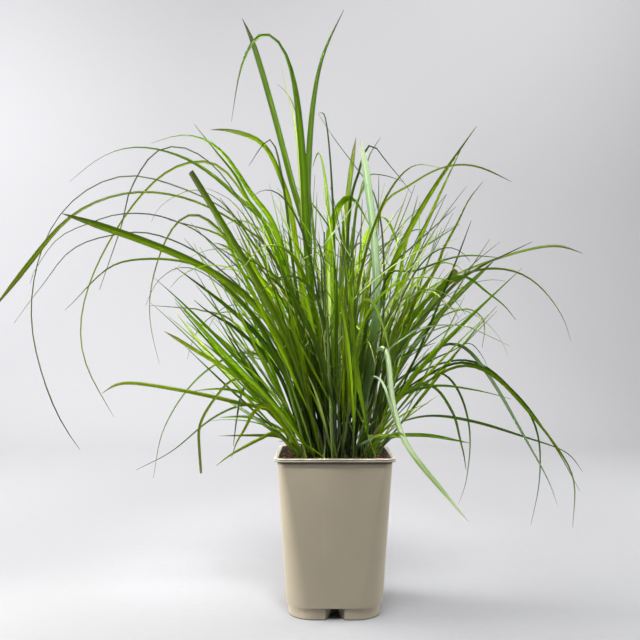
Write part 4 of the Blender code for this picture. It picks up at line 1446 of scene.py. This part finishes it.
def add_shoot(groups, sheaths, rng, index):
    """A shoot: its sheath, and the blades that leave it on two sides in turn."""
    spread = math.sqrt((index + 0.5) / SHOOT_COUNT)
    place = GOLDEN_ANGLE * index + rng.gauss(0, 0.25)
    root = on_clump(place, CLUMP_RADIUS * spread, SOIL_TOP - ROOT_SUNK)
    heading = place + rng.gauss(0, 0.5)
    lean = LEAN_AT_MIDDLE + LEAN_GAINED * spread + rng.gauss(0, 0.08)
    length = rng.uniform(*SHEATH_LENGTHS_MM) * MM
    spine = bending_path(root, heading, lean, SHEATH_BEND, length, 0, TUBE_RINGS)
    foot_radius = rng.uniform(*SHEATH_RADII_MM) * MM

    def sheath_radius(share):
        return foot_radius * (1 - 0.5 * share ** 2)

    lay_tube(sheaths, TUBE_BAR, spine, sheath_radius, 0.5, heading + rng.gauss(0, 0.8), rng.random())
    two_ranks = rng.uniform(0, math.pi)
    leaves = rng.choice(BLADES_PER_SHOOT)
    for leaf in range(leaves):
        rank = (leaf + 0.5) / leaves
        side = 1 if leaf % 2 else -1

        def draw():
            spray = outward(two_ranks + rng.gauss(0, 0.6)) * side * rng.uniform(0.04, 0.48) * (1.25 - rank)
            way = outward(heading) * math.sin(lean) + UP * math.cos(lean) + spray + TO_THE_LEFT
            way.normalize()
            leaning = math.acos(way.z)
            length = rng.uniform(SHORTEST_MM, LONGEST_UPRIGHT_MM + LONGER_BY_LEAN_MM * leaning) * MM
            bend = rng.uniform(-0.05, 0.30) * (0.6 + leaning)
            if rng.random() < DROOPING_SHARE:
                bend += rng.uniform(0.5, 1.2)
            turned = math.atan2(way.y, way.x)
            start = spine[FIRST_LEAF_RING + round(rank * LEAF_RINGS)]
            return bending_path(start, turned, leaning, bend, length, rng.gauss(0, 0.2), FILL_RINGS), turned

        add_leaf(
            groups, FILL_BAR, rng, LEAF_TRIES, draw, fits_shoot,
            FILL_FINISHES, 1.4, lambda: rng.triangular(*FILL_WIDTHS_MM), 0.5, POINTED_SHARE,
        )


def add_front_sheaths(sheaths, rng):
    """The sheaths that stand out at the front of the clump's foot."""
    for heading, root, radius, points in FRONT_SHEATHS:
        heading = math.radians(heading)
        spine = smooth_curve(sink(seen_path(heading, root * MM, points)), TUBE_RINGS)

        def radius_at(share):
            return radius * MM * (1 - 0.85 * share ** 3)

        lay_tube(sheaths, TUBE_BAR, spine, radius_at, 0.6, heading, rng.uniform(0.5, 1))


def add_fine_arcs(groups, rng):
    """Long thin blades that arch far out of the clump and droop at their tips."""
    for index in range(FINE_ARCS):
        place = GOLDEN_ANGLE * index + rng.gauss(0, 0.3)

        def draw():
            heading = place + rng.gauss(0, 0.4)
            root = on_clump(place, rng.uniform(10, 55) * MM, SOIL_TOP + ARC_START)
            lean = rng.uniform(*ARC_LEANS)
            bend = rng.uniform(*ARC_BENDS)
            length = rng.uniform(*ARC_LENGTHS_MM) * MM
            path = bending_path(root, heading, lean, bend, length, rng.gauss(0, 0.3), ARC_RINGS, power=1.9)
            return path, heading

        add_leaf(
            groups, ARC_BAR, rng, LOOSE_TRIES, draw, fits_arc,
            ARC_FINISHES, 1.2, lambda: rng.uniform(*ARC_WIDTHS_MM), 1.2,
        )


def add_short_blades(groups, rng):
    """Short young blades and a few dry ones round the foot of the clump."""
    for index in range(SHORT_BLADES):
        place = GOLDEN_ANGLE * index + rng.gauss(0, 0.2)

        def draw():
            heading = place + rng.gauss(0, 0.7)
            root = on_clump(place, rng.uniform(30, 66) * MM, SOIL_TOP - ROOT_SUNK)
            lean = rng.uniform(*SHORT_LEANS)
            length = rng.uniform(*SHORT_LENGTHS_MM) * MM
            bend = rng.uniform(*SHORT_BENDS)
            return bending_path(root, heading, lean, bend, length, rng.gauss(0, 0.4), FILL_RINGS), heading

        add_leaf(
            groups, FILL_BAR, rng, LOOSE_TRIES, draw, free_of_pot,
            SHORT_FINISHES, 1.3, lambda: rng.uniform(*SHORT_WIDTHS_MM), 0.6,
        )


def add_threads(groups, rng):
    """Thread-like leaves that cross the clump at odd angles, the youngest of them almost white."""

    def draw():
        place = rng.uniform(0, 2 * math.pi)
        height = rng.uniform(*THREAD_HEIGHTS_MM) * MM
        root = on_clump(place, rng.uniform(10, 60 + 300 * height) * MM, SOIL_TOP + height)
        heading = place + rng.gauss(0, 1.2)
        lean = rng.uniform(*THREAD_LEANS)
        bend = rng.uniform(*THREAD_BENDS)
        length = rng.uniform(*THREAD_LENGTHS_MM) * MM
        return bending_path(root, heading, lean, bend, length, rng.gauss(0, 0.25), FILL_RINGS), heading

    for _ in range(THREADS):
        add_leaf(
            groups, FILL_BAR, rng, LOOSE_TRIES, draw, fits_fill,
            THREAD_FINISHES, 1.4, lambda: rng.uniform(*THREAD_WIDTHS_MM), 1.0,
        )


def add_fine_blades(groups, rng):
    """The finer blades that were read off the front view."""
    for heading, root, turn, width, finish, points in FINE_BLADES:
        heading = math.radians(heading)
        spine = smooth_curve(sink(seen_path(heading, root * MM, points)), HERO_RINGS)
        turned = facing_turn(spine, heading) + math.radians(turn)
        twist = rng.gauss(0, 0.5)
        lay_blade(
            groups[finish], HERO_BAR, spine, heading, turned, width * MM, twist, 0.4, "pointed", rng.random(),
        )


def build_fill():
    """The rest of the clump: shoots with their sheaths and blades, and the finer leaves among them."""
    rng = random.Random(FILL_SEED)
    groups = {name: bmesh.new() for name in LEAF_FINISHES}
    sheaths = bmesh.new()
    for index in range(SHOOT_COUNT):
        add_shoot(groups, sheaths, rng, index)
    add_front_sheaths(sheaths, rng)
    add_fine_arcs(groups, rng)
    add_short_blades(groups, rng)
    add_threads(groups, rng)
    add_fine_blades(groups, rng)
    for name, mesh in groups.items():
        add_piece(f"leaves_{name}", mesh, LEAF_FINISHES[name], sharp=60)
    add_piece("leaf_sheaths", sheaths, CULM_FINISH, sharp=60)


def build_stage():
    """A seamless paper sweep: floor, curve and wall."""
    mesh = bmesh.new()
    near, far, wall_top, bend = -4.0, 3.2, 5.0, 1.28
    half_width = 6.0
    first = [mesh.verts.new((side * half_width, near, 0)) for side in (-1, 1)]
    edge = [mesh.edges.new(first)]
    profile = [(far - bend, 0)]
    for step in range(1, 13):
        angle = math.radians(90 * step / 12)
        profile.append((far - bend + bend * math.sin(angle), bend - bend * math.cos(angle)))
    profile.append((far, wall_top))
    for y, z in profile:
        grown = bmesh.ops.extrude_edge_only(mesh, edges=edge)["geom"]
        edge = [part for part in grown if isinstance(part, bmesh.types.BMEdge)]
        for vertex in edge[0].verts:
            vertex.co.y = y
            vertex.co.z = z
    bmesh.ops.recalc_face_normals(mesh, faces=mesh.faces)
    data = mesh_data("paper_sweep", mesh)
    data.materials.append(backdrop_finish())
    data.shade_smooth()
    sweep = link_object("paper_sweep", data)


def area_light(name, place, target, width, height, watts, colour=(1, 1, 1), spread=180):
    data = bpy.data.lights.new(name, "AREA")
    data.spread = math.radians(spread)
    data.shape = "RECTANGLE"
    data.size = width
    data.size_y = height
    data.energy = watts
    data.color = colour
    lamp = link_object(name, data)
    lamp.location = place
    lamp.rotation_euler = (Vector(target) - Vector(place)).to_track_quat("-Z", "Y").to_euler()


def build_light():
    """Soft studio light: from both sides, above and the front, and two washes on the wall behind."""
    area_light("left_softbox", (-1.7, 0.35, 1.15), (0, 0, 0.40), 0.7, 1.5, 46, WARM)
    area_light("left_strip", (-0.98, -0.12, 0.32), (0, 0, 0.14), 0.22, 0.6, 1.7, WARM, spread=60)
    area_light("right_softbox", (1.7, 0.45, 1.0), (0, 0, 0.35), 0.6, 1.4, 28, COOL)
    area_light("right_strip", (0.98, -0.12, 0.30), (0, 0, 0.14), 0.22, 0.6, 0.5, COOL, spread=60)
    area_light("top_softbox", (-0.45, 0.1, 2.4), (0, 0, 0.3), 1.2, 0.9, 40)
    area_light("front_softbox", (-0.6, -1.3, 2.6), (0, 0, 0.2), 1.0, 0.8, 68)
    area_light("clump_softbox", (0.1, -1.0, 1.9), (0, 0, 0.49), 0.3, 0.3, 1.25, spread=24)
    area_light("wall_wash_left", (-2.30, 1.30, 1.85), (-1.84, 3.2, 1.40), 1.3, 1.2, 54)
    area_light("wall_wash_right", (1.20, 1.30, 2.96), (0.60, 3.2, 2.0), 1.6, 1.0, 40)
    world = bpy.data.worlds.new("studio")
    world.use_nodes = True
    world.node_tree.nodes["Background"].inputs["Color"].default_value = (0.93, 0.94, 1.0, 1)
    world.node_tree.nodes["Background"].inputs["Strength"].default_value = 0.15
    bpy.context.scene.world = world
    bpy.context.scene.view_settings.view_transform = "Standard"


def build_camera():
    data = bpy.data.cameras.new("camera")
    data.lens = LENS_MM
    data.shift_y = FRAME_RAISED
    camera = link_object("camera", data)
    camera.location = EYE
    camera.rotation_euler = (math.radians(90), 0, 0)
    bpy.context.scene.camera = camera


build_pot()
build_soil()
build_chips()
build_culms()
build_main_blades()
build_fill()
build_stage()
build_light()
build_camera()
